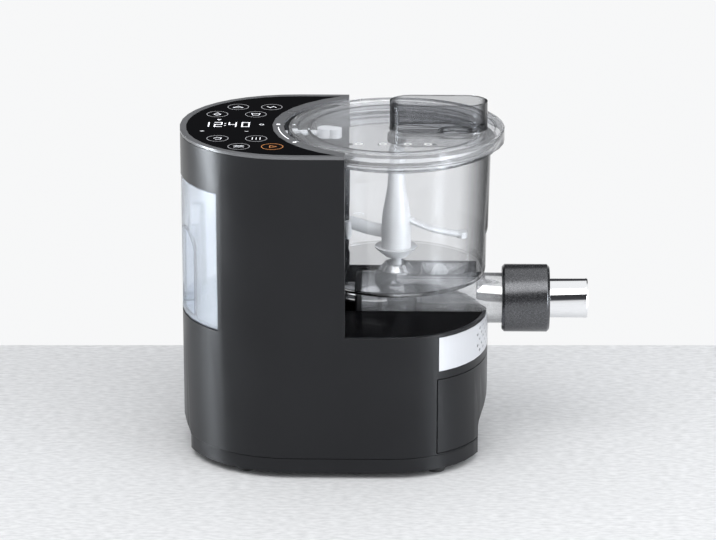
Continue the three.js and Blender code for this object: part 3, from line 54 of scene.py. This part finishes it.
bowl_low, bowl_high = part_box("bowl_shell")
AXIS_X = (bowl_low.x + bowl_high.x) / 2
GLASS_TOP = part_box("control_glass")[1].z
TRIM_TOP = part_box("top_trim")[1].z
LID_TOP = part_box("lid_shell")[1].z


# Node helpers


def new_material(name):
    """A new material with its node tree and its Principled shader."""
    material = bpy.data.materials.new(name)
    material.use_nodes = True
    tree = material.node_tree
    return material, tree, tree.nodes["Principled BSDF"]


def add(tree, kind, **values):
    """A new node with the given settings."""
    node = tree.nodes.new(kind)
    for key, value in values.items():
        setattr(node, key, value)
    return node


def maths(tree, operation, *values):
    """The outcome of one sum on linked values."""
    node = add(tree, "ShaderNodeMath", operation=operation)
    for place, value in enumerate(values):
        tree.links.new(value, node.inputs[place])
    return node.outputs["Value"]


def mapped(tree, value, start, end, low, high):
    """The value, its run from start to end stretched to run from low to high and held there."""
    node = add(tree, "ShaderNodeMapRange")
    for socket, number in zip(("From Min", "From Max", "To Min", "To Max"), (start, end, low, high)):
        node.inputs[socket].default_value = number
    tree.links.new(value, node.inputs["Value"])
    return node.outputs["Result"]


NOISE_REACH = (0.3, 0.7)
FEW_LAYERS, SOME_LAYERS, MANY_LAYERS = 2.0, 3.0, 4.0
BEVEL_RAYS = 4


def spread(tree, value, low, high):
    """Noise, which lies round a half, stretched to run from low to high."""
    return mapped(tree, value, *NOISE_REACH, low, high)


def noise(tree, scale, detail, stretch=(1, 1, 1)):
    """Noise in object space, in cycles a metre, with the given number of finer layers."""
    place = add(tree, "ShaderNodeTexCoord")
    mapping = add(tree, "ShaderNodeMapping")
    mapping.inputs["Scale"].default_value = stretch
    texture = add(tree, "ShaderNodeTexNoise")
    texture.inputs["Scale"].default_value = scale
    texture.inputs["Detail"].default_value = detail
    tree.links.new(place.outputs["Object"], mapping.inputs["Vector"])
    tree.links.new(mapping.outputs["Vector"], texture.inputs["Vector"])
    return texture.outputs["Fac"]


def tint(tree, value, dark, light):
    """The colour between dark and light that the value picks."""
    node = add(tree, "ShaderNodeMix", data_type="RGBA")
    node.inputs["A"].default_value = (*dark, 1)
    node.inputs["B"].default_value = (*light, 1)
    tree.links.new(value, node.inputs["Factor"])
    return node.outputs["Result"]


def softened(tree, radius):
    """The normal of a surface whose corners are rounded by the radius."""
    node = add(tree, "ShaderNodeBevel", samples=BEVEL_RAYS)
    node.inputs["Radius"].default_value = radius
    return node.outputs["Normal"]


def relief(tree, value, strength, depth, edge=0.0):
    """The normal of a grain of the given depth, over corners softened by edge metres."""
    node = add(tree, "ShaderNodeBump")
    node.inputs["Strength"].default_value = strength
    node.inputs["Distance"].default_value = depth
    tree.links.new(value, node.inputs["Height"])
    if edge:
        tree.links.new(softened(tree, edge), node.inputs["Normal"])
    return node.outputs["Normal"]


# Kinds of material, which all take their colours in linear light

GRAIN_STRENGTH = 0.35
PATCH_SCALE = 18.0

# The shares of its roughness between which each kind varies

PLASTIC_SHEEN = (0.9, 1.1)
FLAKE_SHEEN = (0.8, 1.3)
METAL_SHEEN = (0.8, 1.25)
CLEAR_SHEEN = (0.7, 1.3)


def surface(tree, shader, colour, value, rough, shares, normal):
    """Joins a kind's colour, its roughness, which the value varies, and its normal to the shader."""
    low, high = (rough * share for share in shares)
    tree.links.new(colour, shader.inputs["Base Color"])
    tree.links.new(spread(tree, value, low, high), shader.inputs["Roughness"])
    tree.links.new(normal, shader.inputs["Normal"])


def plastic(name, dark, light, rough, grain, depth, edge=0.0, index=1.5):
    """Moulded plastic: spark-eroded grain, patchy sheen and rounded corners."""
    material, tree, shader = new_material(name)
    normal = relief(tree, noise(tree, grain, FEW_LAYERS), GRAIN_STRENGTH, depth, edge)
    patches = noise(tree, PATCH_SCALE, MANY_LAYERS)
    surface(tree, shader, tint(tree, patches, dark, light), patches, rough, PLASTIC_SHEEN, normal)
    shader.inputs["IOR"].default_value = index
    return material


def speckled(name, dark, light, rough, grain, depth, edge, flake_share):
    """Moulded plastic with metal flakes in it: the fine grain drives the colour too."""
    material, tree, shader = new_material(name)
    flakes = noise(tree, grain, FEW_LAYERS)
    colour = tint(tree, spread(tree, flakes, 0.0, 1.0), dark, light)
    normal = relief(tree, flakes, GRAIN_STRENGTH, depth, edge)
    surface(tree, shader, colour, flakes, rough, FLAKE_SHEEN, normal)
    shader.inputs["Metallic"].default_value = flake_share
    return material


BRUSH_SCALE = 900.0
BRUSH_STRENGTH = 0.3
BRUSH_SHADE = 0.9


def metal(name, colour, rough, stretch, depth, metallic=1.0):
    """Brushed or polished metal with its grain along one axis."""
    material, tree, shader = new_material(name)
    grain = noise(tree, BRUSH_SCALE, SOME_LAYERS, stretch)
    brushed = tint(tree, grain, [c * BRUSH_SHADE for c in colour], colour)
    surface(tree, shader, brushed, grain, rough, METAL_SHEEN, relief(tree, grain, BRUSH_STRENGTH, depth))
    shader.inputs["Metallic"].default_value = metallic
    return material


FLOW_STRENGTH = 0.08
FLOW_DEPTH = 0.4 * MM


# edge is the colour of the painted shade at corners and on upright walls seen edge-on; level is how much of
# the body colour level walls keep under painted shade
def clear(name, dark, light, rough, index, edge, reach=(0.3, 0.8), level=1.0, shine=0.04, haze=0.0,
          flow_and_glint_scale=26.0, flow_and_glint_stretch=(1, 1, 0.3)):
    """See-through moulded plastic with moulding marks, painted highlight streaks on the barrel and painted
    shade as described below, that lets the lamps through.
    """
    material, tree, shader = new_material(name)
    # On the barrel this tone runs in long light and dark streaks that are painted highlights; on the other
    # clear parts it is flow marks
    flow_and_glints = noise(tree, flow_and_glint_scale, FEW_LAYERS, flow_and_glint_stretch)
    body = with_painted_shade(tree, tint(tree, flow_and_glints, dark, light), edge, reach, level)
    surface(tree, shader, body, flow_and_glints, rough, CLEAR_SHEEN, relief(tree, flow_and_glints, FLOW_STRENGTH, FLOW_DEPTH))
    shader.inputs["Metallic"].default_value = shine
    shader.inputs["Transmission Weight"].default_value = 1.0 - haze
    shader.inputs["IOR"].default_value = index
    passed = add(tree, "ShaderNodeBsdfTransparent")
    passed.inputs["Color"].default_value = (*light, 1)
    rays = add(tree, "ShaderNodeLightPath")
    mix = add(tree, "ShaderNodeMixShader")
    tree.links.new(rays.outputs["Is Shadow Ray"], mix.inputs["Fac"])
    tree.links.new(shader.outputs["BSDF"], mix.inputs[1])
    tree.links.new(passed.outputs["BSDF"], mix.inputs[2])
    tree.links.new(mix.outputs["Shader"], tree.nodes["Material Output"].inputs["Surface"])
    return material


# How far a wall's normal may point up or down before it counts as level
LEVEL_TILT = (0.3, 0.6)
# Corners, where dark lines of painted shade go, are found where the rounded normal leaves the plain one
CORNER_RADIUS = 1.3 * MM
CORNER_MATCH = (0.85, 0.995)


# Painted shade for clear parts: dark lines at corners, darker upright walls seen edge-on and dimmer level
# walls
def with_painted_shade(tree, body, edge, reach, level):
    """The body colour, times level on level walls as painted shade, and the edge colour painted as shade at
    corners and along upright walls seen edge-on.
    """
    normal = add(tree, "ShaderNodeNewGeometry").outputs["Normal"]
    split = add(tree, "ShaderNodeSeparateXYZ")
    tree.links.new(normal, split.inputs["Vector"])
    upright = mapped(tree, maths(tree, "ABSOLUTE", split.outputs["Z"]), *LEVEL_TILT, 1.0, 0.0)
    slant = add(tree, "ShaderNodeLayerWeight").outputs["Facing"]
    along = mapped(tree, slant, *reach, 0.0, 1.0)
    same = add(tree, "ShaderNodeVectorMath", operation="DOT_PRODUCT")
    tree.links.new(softened(tree, CORNER_RADIUS), same.inputs[0])
    tree.links.new(normal, same.inputs[1])
    corner = mapped(tree, maths(tree, "ABSOLUTE", same.outputs["Value"]), *CORNER_MATCH, 1.0, 0.0)
    dimmed = add(tree, "ShaderNodeVectorMath", operation="SCALE")
    tree.links.new(body, dimmed.inputs[0])
    tree.links.new(mapped(tree, upright, 0.0, 1.0, level, 1.0), dimmed.inputs["Scale"])
    painted_shade_mix = add(tree, "ShaderNodeMix", data_type="RGBA")
    painted_shade_mix.inputs["B"].default_value = (*edge, 1)
    tree.links.new(dimmed.outputs["Vector"], painted_shade_mix.inputs["A"])
    edges = maths(tree, "MAXIMUM", maths(tree, "MULTIPLY", along, upright), corner)
    tree.links.new(edges, painted_shade_mix.inputs["Factor"])
    return painted_shade_mix.outputs["Result"]


MARK_GRAIN = 300.0
MARK_SHADE = 0.85


def lamp(name, colour, strength):
    """A printed mark lit from behind, a little uneven as diffused light is."""
    material, tree, shader = new_material(name)
    patchy = tint(tree, noise(tree, MARK_GRAIN, FEW_LAYERS), [c * MARK_SHADE for c in colour], colour)
    tree.links.new(patchy, shader.inputs["Base Color"])
    tree.links.new(patchy, shader.inputs["Emission Color"])
    shader.inputs["Emission Strength"].default_value = strength
    return material


# Materials

HOUSING = plastic("anthracite", (0.009, 0.0094, 0.011), (0.013, 0.0135, 0.0155),
                  rough=0.33, grain=2600.0, depth=0.02 * MM, edge=0.7 * MM, index=1.33)
TRIM = plastic("trim_grey", (0.13, 0.132, 0.138), (0.17, 0.172, 0.178),
               rough=0.3, grain=2200.0, depth=0.015 * MM, edge=0.5 * MM)
MATTE = plastic("matte_black", (0.012, 0.012, 0.013), (0.018, 0.018, 0.019),
                rough=0.5, grain=2000.0, depth=0.02 * MM, edge=0.4 * MM)
GLOSS = plastic("gloss_black", (0.003, 0.003, 0.0035), (0.005, 0.005, 0.0055),
                rough=0.14, grain=900.0, depth=0.004 * MM, edge=0.8 * MM, index=1.05)
GLASS = plastic("black_glass", (0.002, 0.002, 0.0025), (0.003, 0.003, 0.0035),
                rough=0.05, grain=300.0, depth=0.002 * MM, edge=0.4 * MM, index=1.14)
RUBBER = plastic("rubber", (0.02, 0.02, 0.02), (0.03, 0.03, 0.03), rough=0.75, grain=1600.0, depth=0.03 * MM)
WHITE = plastic("milk_white", (0.86, 0.865, 0.87), (0.92, 0.925, 0.93),
                rough=0.38, grain=1500.0, depth=0.015 * MM, edge=0.8 * MM)
PEARL = plastic("pearl_white", (0.68, 0.684, 0.688), (0.74, 0.744, 0.748),
                rough=0.4, grain=1500.0, depth=0.015 * MM, edge=0.8 * MM)
DULL_WHITE = plastic("plain_white", (0.62, 0.63, 0.64), (0.7, 0.71, 0.72),
                     rough=0.45, grain=1500.0, depth=0.02 * MM)
BOARD = plastic("circuit_green", (0.01, 0.05, 0.03), (0.015, 0.07, 0.04),
                rough=0.4, grain=800.0, depth=0.05 * MM)
NUT = speckled("graphite", (0.055, 0.056, 0.060), (0.17, 0.172, 0.180),
               rough=0.24, grain=1500.0, depth=0.035 * MM, edge=0.8 * MM, flake_share=0.85)
STRIP = metal("strip_steel", (0.66, 0.67, 0.70), 0.40, (1, 1, 0.03), 0.004 * MM, metallic=0.15)
CHROME = metal("nozzle_steel", (0.95, 0.955, 0.965), 0.08, (0.02, 1, 1), 0.002 * MM)
STEEL = metal("dark_steel", (0.42, 0.43, 0.45), 0.35, (0.05, 1, 1), 0.006 * MM)
# The edge colours, and the bowl's level, are painted shade at corners, on upright walls seen edge-on and on
# the bowl's level walls
BOWL = clear("smoky_clear", (0.89, 0.895, 0.905), (0.92, 0.925, 0.935),
             rough=0.03, index=1.04, edge=(0.12, 0.122, 0.126), level=0.78)
LID = clear("smoky_lid", (0.88, 0.885, 0.895), (0.92, 0.925, 0.935),
            rough=0.03, index=1.35, edge=(0.06, 0.062, 0.066), haze=0.1)
FUNNEL = clear("smoky_funnel", (0.60, 0.605, 0.615), (0.66, 0.665, 0.675),
               rough=0.03, index=1.1, edge=(0.1, 0.102, 0.106), reach=(0.2, 0.6))
# The barrel's wide light and dark streaks along its length are painted highlight streaks
BARREL = clear("smoky_barrel", (0.66, 0.665, 0.675), (0.98, 0.982, 0.985),
               rough=0.06, index=1.45, edge=(0.2, 0.205, 0.215), shine=0.45, haze=0.3,
               flow_and_glint_scale=240.0, flow_and_glint_stretch=(0.06, 1, 1))
PALE = clear("pale_clear", (0.80, 0.825, 0.86), (0.88, 0.905, 0.935),
             rough=0.12, index=1.12, edge=(0.16, 0.17, 0.19), reach=(0.6, 0.9), haze=0.25)
LIT = lamp("lit_white", (0.95, 0.96, 1.0), 0.8)
LIT_ORANGE = lamp("lit_orange", (0.60, 0.24, 0.07), 0.5)
# The unlit button rings are grey print; their faint glow is painted light
DIM = lamp("printed_grey_painted_glow", (0.5, 0.5, 0.52), 0.05)

LOOKS = [
    (HOUSING, ["housing_shell", "drawer_front", "base_pan"]),
    (TRIM, ["top_trim"]),
    (GLASS, ["control_glass"]),
    (GLOSS, ["bowl_platform"]),
    (STRIP, ["vent_strip"]),
    (BOARD, ["control_board"]),
    (MATTE, ["display_module", "power_inlet", "tank_bay", "fan_frame", "fan_rotor", "barrel_flange"]),
    (MATTE, ["drawer_rail_left", "drawer_rail_right", "drawer_box"]),
    (DULL_WHITE, ["tank_socket", "tank_valve", "water_pump", "water_spout", "drive_gear"]),
    (STEEL, ["motor_can", "motor_stator", "motor_rotor", "motor_pinion", "gear_plate"]),
    (STEEL, [f"pan_screw_{i}" for i in range(1, 5)]),
    (CHROME, ["drive_dog", "nozzle_tube"]),
    (PALE, ["water_tank", "suction_hose", "pressure_hose"]),
    (BOWL, ["bowl_shell"]),
    (BARREL, ["extruder_barrel"]),
    (WHITE, ["auger", "bevel_pinion", "bevel_wheel", "lid_port", "die_disc"]),
    (PEARL, ["paddle"]),
    (LID, ["lid_shell"]),
    (FUNNEL, ["lid_funnel"]),
    (NUT, ["ring_nut"]),
    (RUBBER, ["lid_seal"] + [f"foot_{i}" for i in range(1, 5)]),
]
WELD_GAP = 0.004 * MM
SHARP_ANGLE = math.radians(30)


def dress(node, material):
    """Gives a CAD node its material and smooths its round faces, with sharp corners kept."""
    obj = frame["nodes"][node]
    obj.data.materials.clear()
    obj.data.materials.append(material)
    obj.data.polygons.foreach_set("material_index", [0] * len(obj.data.polygons))
    obj.data.polygons.foreach_set("use_smooth", [True] * len(obj.data.polygons))
    weld = obj.modifiers.new("weld", "WELD")
    weld.merge_threshold = WELD_GAP
    split = obj.modifiers.new("corners", "EDGE_SPLIT")
    split.split_angle = SHARP_ANGLE
    even = obj.modifiers.new("even", "WEIGHTED_NORMAL")
    even.keep_sharp = True


for look, names in LOOKS:
    for name in names:
        dress(name, look)


# Flat printed marks

PRINT_LIFT = 0.04 * MM


def printed(name, outlines, height, material, body):
    """One thin plate per outline, just above the given height."""
    mesh = bpy.data.meshes.new(name)
    bm = bmesh.new()
    for outline in outlines:
        verts = [bm.verts.new((x, y, height + PRINT_LIFT)) for x, y in outline]
        face = bm.faces.new(verts)
        face.normal_update()
        if face.normal.z < 0:
            face.normal_flip()
        made = bmesh.ops.extrude_face_region(bm, geom=[face])
        for vert in made["geom"]:
            if isinstance(vert, bmesh.types.BMVert):
                vert.co.z += PRINT_LIFT
    bmesh.ops.recalc_face_normals(bm, faces=bm.faces)
    bm.to_mesh(mesh)
    bm.free()
    obj = bpy.data.objects.new(name, mesh)
    bpy.context.scene.collection.objects.link(obj)
    mesh.materials.append(material)
    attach(obj, body)


def in_metres(x, y):
    """A point given in millimetres."""
    return (x * MM, y * MM)


def arc_points(centre, radius, start, end, steps):
    """Points along an arc, its start and end given in degrees."""
    spots = []
    for i in range(steps + 1):
        angle = math.radians(start + (end - start) * i / steps)
        spots.append((centre[0] + radius * math.cos(angle), centre[1] + radius * math.sin(angle)))
    return spots


def band(centre, radius, width, start=0.0, end=360.0, steps=40):
    """A ring or arc of even width, as a row of small four-sided outlines."""
    outer = arc_points(centre, radius + width / 2, start, end, steps)
    inner = arc_points(centre, radius - width / 2, start, end, steps)
    return [[outer[i], outer[i + 1], inner[i + 1], inner[i]] for i in range(steps)]


def stroke(a, b, width):
    """A straight stroke from a to b, with square ends half its width beyond them."""
    along = (Vector(b) - Vector(a)).normalized() * width / 2
    across = Vector((-along.y, along.x))
    corners = [Vector(a) - along + across, Vector(b) + along + across]
    corners += [Vector(b) + along - across, Vector(a) - along - across]
    return [tuple(c) for c in corners]


def strokes(points, width, centre, scale):
    """A chain of strokes through points given in shares of scale round centre."""
    spots = [(centre[0] + x * scale, centre[1] + y * scale) for x, y in points]
    return [stroke(spots[i], spots[i + 1], width) for i in range(len(spots) - 1)]


PRINT_LINE = 0.55 * MM
RING_RADIUS = 9.2 * MM
ICON_SIZE = 4.2 * MM

# Where each button lies, in millimetres, and the strokes of its icon, in shares of the icon's size

BUTTONS = {
    "dough": ((-131.4, 58.5), [[(-1, -0.6), (0, 0.6), (1, -0.6), (-1, -0.6)]]),
    "clean": ((-101.6, 58.5), [[(-1, 0.5), (-0.3, -0.5), (0.4, 0.5), (1, -0.5)]]),
    "water": ((-148.6, 34.0), [[(0, 1), (-0.7, -0.2), (0, -0.9), (0.7, -0.2), (0, 1)]]),
    "cup": ((-114.6, 34.0), [[(-0.9, 0.6), (-0.6, -0.7), (0.6, -0.7), (0.9, 0.6), (-0.9, 0.6)]]),
    "auto": ((-144.0, -44.5), [[(-0.8, 0), (-0.2, 0.8), (0.8, 0.4), (0.6, -0.6), (-0.4, -0.8)]]),
    "manual": (
        (-110.7, -44.5),
        [[(-0.8, -0.8), (-0.8, 0.8)], [(0, -0.8), (0, 0.8)], [(0.8, -0.8), (0.8, 0.8)]],
    ),
    "shape": (
        (-124.5, -69.5),
        [
            [(-1, 0.4), (-0.5, 0.7), (0, 0.4), (0.5, 0.7), (1, 0.4)],
            [(-1, -0.5), (-0.5, -0.2), (0, -0.5), (0.5, -0.2), (1, -0.5)],
        ],
    ),
    "start": ((-95.9, -69.5), [[(-0.5, 0.8), (0.9, 0), (-0.5, -0.8), (-0.5, 0.8)]]),
}
GLOWING = "start"


def buttons():
    """A ring and an icon for each touch button."""
    for name, (spot, chains) in BUTTONS.items():
        centre = in_metres(*spot)
        ring_look = LIT_ORANGE if name == GLOWING else DIM
        printed(f"button_ring_{name}", band(centre, RING_RADIUS, PRINT_LINE), GLASS_TOP, ring_look, "housing")
        icon = []
        for chain in chains:
            icon += strokes(chain, PRINT_LINE, centre, ICON_SIZE)
        icon_look = LIT_ORANGE if name == GLOWING else LIT
        printed(f"button_icon_{name}", icon, GLASS_TOP, icon_look, "housing")


# The figures shown, the middles of their places and the two ends of a colon's dot, in millimetres

FIGURES = (("1", -157.2), ("2", -146.0), ("4", -133.4), ("0", -122.0))
COLON_ENDS = (-140.2, -139.6)
COLON_ROW = 3.2
DIGIT_BARS = {"0": "abcdef", "1": "bc", "2": "abged", "4": "fgbc"}
DIGIT_HALF_WIDTH = 3.4 * MM
DIGIT_HALF_HEIGHT = 7.6 * MM
DIGIT_LINE = 1.1 * MM
BAR_SHARE = 0.88

# Small signs round the figures, in millimetres

WAVES_SPOT = (-158.7, -23.0)
WAVE_RADII_AND_STEPS = ((2.4, 8), (1.2, 6))
WAVES_REACH = (40, 140)
DASH_ENDS = ((-121.4, -21.8), (-118.8, -21.8))
POINTER_SPOT = (-146.0, 15.5)
POINTER_SIZE = 2.4
POINTER = [(-0.6, 0.5), (0, -0.5), (0.6, 0.5), (-0.6, 0.5)]
DOT_SPOT = (-107.9, 0.4)
DOT_RADIUS = 1.8
DOT_STEPS = 14


def digit_strokes(figure, x):
    """The lit bars of a seven-bar figure that stands round the height 0."""
    w, h = DIGIT_HALF_WIDTH, DIGIT_HALF_HEIGHT
    spots = {
        "a": ((-w, h), (w, h)),
        "b": ((w, h), (w, 0)),
        "c": ((w, 0), (w, -h)),
        "d": ((-w, -h), (w, -h)),
        "e": ((-w, 0), (-w, -h)),
        "f": ((-w, h), (-w, 0)),
        "g": ((-w, 0), (w, 0)),
    }
    made = []
    for bar in DIGIT_BARS[figure]:
        ends = [(x + dx * BAR_SHARE, dy * BAR_SHARE) for dx, dy in spots[bar]]
        made.append(stroke(*ends, DIGIT_LINE))
    return made


def display():
    """The clock's figures and the small signs round them."""
    lit = []
    for figure, x in FIGURES:
        lit += digit_strokes(figure, x * MM)
    for y in (-COLON_ROW, COLON_ROW):
        lit.append(stroke(*(in_metres(x, y) for x in COLON_ENDS), DIGIT_LINE))
    printed("display_digits", lit, GLASS_TOP, LIT, "housing")
    small = []
    for radius, steps in WAVE_RADII_AND_STEPS:
        small += band(in_metres(*WAVES_SPOT), radius * MM, PRINT_LINE, *WAVES_REACH, steps)
    small.append(stroke(*(in_metres(*end) for end in DASH_ENDS), PRINT_LINE))
    small += strokes(POINTER, PRINT_LINE, in_metres(*POINTER_SPOT), POINTER_SIZE * MM)
    small += band(in_metres(*DOT_SPOT), DOT_RADIUS * MM, PRINT_LINE, steps=DOT_STEPS)
    printed("display_marks", small, GLASS_TOP, LIT, "housing")


CRESCENT_RADIUS = 103.4 * MM
SHUT_ANGLE = 179.5
OPEN_ANGLE = 212.5
TURN_ARC = (184.5, 206.5)
TURN_ARC_LINE = 1.6 * PRINT_LINE
TURN_ARC_STEPS = 20
PADLOCK_HALF = 1.6 * MM
PADLOCK_TOP = 0.6 * PADLOCK_HALF
BOW_RADIUS = 0.8 * PADLOCK_HALF
BOW_LINE = 0.8 * PRINT_LINE
BOW_SWING = 1.2 * PADLOCK_HALF
BOW_STEPS = 8
LID_MARK = [(-88.6, -1.2), (-88.6, 1.2), (-91.2, 0.0)]


def padlock(angle, open_side):
    """A small padlock that stands on the crescent, its body a solid plate and its bow aside when open."""
    turn = math.radians(angle)
    x, y = AXIS_X + CRESCENT_RADIUS * math.cos(turn), CRESCENT_RADIUS * math.sin(turn)
    left, right, bottom, top = x - PADLOCK_HALF, x + PADLOCK_HALF, y - PADLOCK_HALF, y + PADLOCK_TOP
    plate = [(left, bottom), (right, bottom), (right, top), (left, top)]
    bow_centre = (x + (BOW_SWING if open_side else 0), top)
    return [plate] + band(bow_centre, BOW_RADIUS, BOW_LINE, 0, 180, BOW_STEPS)


def lock_marks():
    """A shut and an open padlock with an arc between them, and the pointer on the lid."""
    marks = padlock(SHUT_ANGLE, False)
    marks += band((AXIS_X, 0.0), CRESCENT_RADIUS, TURN_ARC_LINE, *TURN_ARC, TURN_ARC_STEPS)
    marks += padlock(OPEN_ANGLE, True)
    # The lock marks and the lid's pointer are printed, yet take the glowing white, so their glow is painted
    # light
    printed("lock_marks", marks, TRIM_TOP, LIT, "housing")
    printed("lid_mark", [[(AXIS_X + x * MM, y * MM) for x, y in LID_MARK]], LID_TOP, LIT, "lid")


# The lid's air holes, in millimetres from the bowl's axis, and the rims round them

VENTS = (-32.2, -11.5, 9.9, 27.3)
VENT_ROW = -54.0 * MM
VENT_TOP = 290.2 * MM
VENT_INNER = 1.75 * MM
VENT_OUTER = 3.6 * MM
VENT_STEPS = 20


def vent_rims():
    """White rims round the lid's small air holes."""
    middle, width = (VENT_INNER + VENT_OUTER) / 2, VENT_OUTER - VENT_INNER
    rims = []
    for x in VENTS:
        rims += band((AXIS_X + x * MM, VENT_ROW), middle, width, steps=VENT_STEPS)
    printed("vent_rims", rims, VENT_TOP, WHITE, "lid")


buttons()
display()
lock_marks()
vent_rims()


# Studio

# Height of a direction, from 0 straight down to 1 straight up, and the colour seen there

SKY = [
    (0.0, (0.93, 0.935, 0.94)),
    (0.49, (0.93, 0.935, 0.94)),
    (0.53, (0.22, 0.225, 0.24)),
    (0.58, (0.05, 0.051, 0.056)),
    (0.82, (0.03, 0.031, 0.034)),
    (0.87, (0.95, 0.96, 0.97)),
    (1.0, (0.95, 0.96, 0.97)),
]
SKY_LIGHT = (0.96, 0.975, 1.0)
SKY_STRENGTH = 0.72

FLOOR_HALF = 2.5
FLOOR_BACK = 0.253
FLOOR_SLEW = 0.018
FLOOR_DARK = (0.70, 0.702, 0.705)
FLOOR_LIGHT = (0.88, 0.882, 0.886)
FLOOR_GRAIN = 280.0
FLOOR_STRETCH = (0.4, 1, 1)
FLOOR_ROUGH = 0.42

# Name, place, the point it is turned to, width, height, watts, colour, whether only gloss shows it

SOFTBOXES = [
    ("key", (-0.3, -1.0, 1.7), (0, 0, 0.15), 2.0, 1.2, 19, (1, 1, 1), False),
    ("side", (-1.0, -0.05, 0.3), (-0.1, 0, 0.15), 0.3, 0.6, 23, (0.88, 0.94, 1.0), True),
    ("edge", (1.0, -0.75, 0.3), (0.05, 0, 0.1), 0.25, 0.6, 16, (0.88, 0.94, 1.0), True),
    ("fill", (1.4, -0.9, 0.9), (0, 0, 0.12), 1.2, 1.2, 12, (0.95, 0.975, 1.0), False),
]

CAMERA_AZIMUTH = math.radians(1.04)
CAMERA_ELEVATION = math.radians(18.01)
CAMERA_DISTANCE = 3.0
CAMERA_AIM = Vector((-23.8 * MM, 0, 158.9 * MM))
CAMERA_LENS = 170.4
CAMERA_SENSOR = 36.0
CAMERA_REACH = (0.05, 50)


def floor():
    """A brushed pale table that ends behind the part, as in the photograph."""
    mesh = bpy.data.meshes.new("floor")
    near, far, slew = -FLOOR_HALF, FLOOR_BACK, FLOOR_HALF * FLOOR_SLEW
    corners = [(-FLOOR_HALF, near, 0), (FLOOR_HALF, near, 0)]
    corners += [(FLOOR_HALF, far + slew, 0), (-FLOOR_HALF, far - slew, 0)]
    mesh.from_pydata(corners, [], [(0, 1, 2, 3)])
    obj = bpy.data.objects.new("floor", mesh)
    bpy.context.scene.collection.objects.link(obj)
    material, tree, shader = new_material("floor")
    mottle = spread(tree, noise(tree, FLOOR_GRAIN, SOME_LAYERS, FLOOR_STRETCH), 0.0, 1.0)
    tree.links.new(tint(tree, mottle, FLOOR_DARK, FLOOR_LIGHT), shader.inputs["Base Color"])
    shader.inputs["Roughness"].default_value = FLOOR_ROUGH
    mesh.materials.append(material)


def aimed(name, data, place, direction):
    """A lamp or camera at the place, looking in the direction."""
    obj = bpy.data.objects.new(name, data)
    obj.location = place
    obj.rotation_mode = "QUATERNION"
    obj.rotation_quaternion = direction.to_track_quat("-Z", "Y")
    bpy.context.scene.collection.objects.link(obj)
    return obj


def softbox(name, place, target, width, height, watts, colour, sheen_only):
    """A flat studio lamp turned to its target."""
    data = bpy.data.lights.new(name, "AREA")
    data.shape = "RECTANGLE"
    data.size, data.size_y = width, height
    data.energy = watts
    data.color = colour
    obj = aimed(name, data, place, Vector(target) - Vector(place))
    obj.visible_diffuse = not sheen_only


def world():
    """White sweep below the horizon, a dark room above it and a bright ceiling of softboxes overhead."""
    made = bpy.data.worlds.new("studio")
    bpy.context.scene.world = made
    made.use_nodes = True
    tree = made.node_tree
    tree.nodes.clear()
    lighting = add(tree, "ShaderNodeBackground")
    lighting.inputs["Color"].default_value = (*SKY_LIGHT, 1)
    lighting.inputs["Strength"].default_value = SKY_STRENGTH
    place = add(tree, "ShaderNodeTexCoord")
    split = add(tree, "ShaderNodeSeparateXYZ")
    tree.links.new(place.outputs["Generated"], split.inputs["Vector"])
    ramp = add(tree, "ShaderNodeValToRGB")
    stops = ramp.color_ramp.elements
    for stop, (position, colour) in ((stops[0], SKY[0]), (stops[1], SKY[-1])):
        stop.position, stop.color = position, (*colour, 1)
    for position, colour in SKY[1:-1]:
        stops.new(position).color = (*colour, 1)
    tree.links.new(mapped(tree, split.outputs["Z"], -1.0, 1.0, 0.0, 1.0), ramp.inputs["Fac"])
    seen = add(tree, "ShaderNodeBackground")
    tree.links.new(ramp.outputs["Color"], seen.inputs["Color"])
    rays = add(tree, "ShaderNodeLightPath").outputs
    mirrored = maths(tree, "MAXIMUM", rays["Is Camera Ray"], rays["Is Glossy Ray"])
    any_seen = maths(tree, "MAXIMUM", mirrored, rays["Is Transmission Ray"])
    mix = add(tree, "ShaderNodeMixShader")
    out = add(tree, "ShaderNodeOutputWorld")
    tree.links.new(any_seen, mix.inputs["Fac"])
    tree.links.new(lighting.outputs["Background"], mix.inputs[1])
    tree.links.new(seen.outputs["Background"], mix.inputs[2])
    tree.links.new(mix.outputs["Shader"], out.inputs["Surface"])


def camera():
    """The photograph's view, fitted to the edges and ellipses that it shows."""
    data = bpy.data.cameras.new("camera")
    data.sensor_width = CAMERA_SENSOR
    data.lens = CAMERA_LENS
    data.clip_start, data.clip_end = CAMERA_REACH
    flat = math.cos(CAMERA_ELEVATION)
    x, y = math.sin(CAMERA_AZIMUTH) * flat, -math.cos(CAMERA_AZIMUTH) * flat
    back = Vector((x, y, math.sin(CAMERA_ELEVATION)))
    bpy.context.scene.camera = aimed("camera", data, CAMERA_AIM + back * CAMERA_DISTANCE, -back)


floor()
for settings in SOFTBOXES:
    softbox(*settings)
world()
camera()
bpy.context.scene.view_settings.view_transform = "Standard"
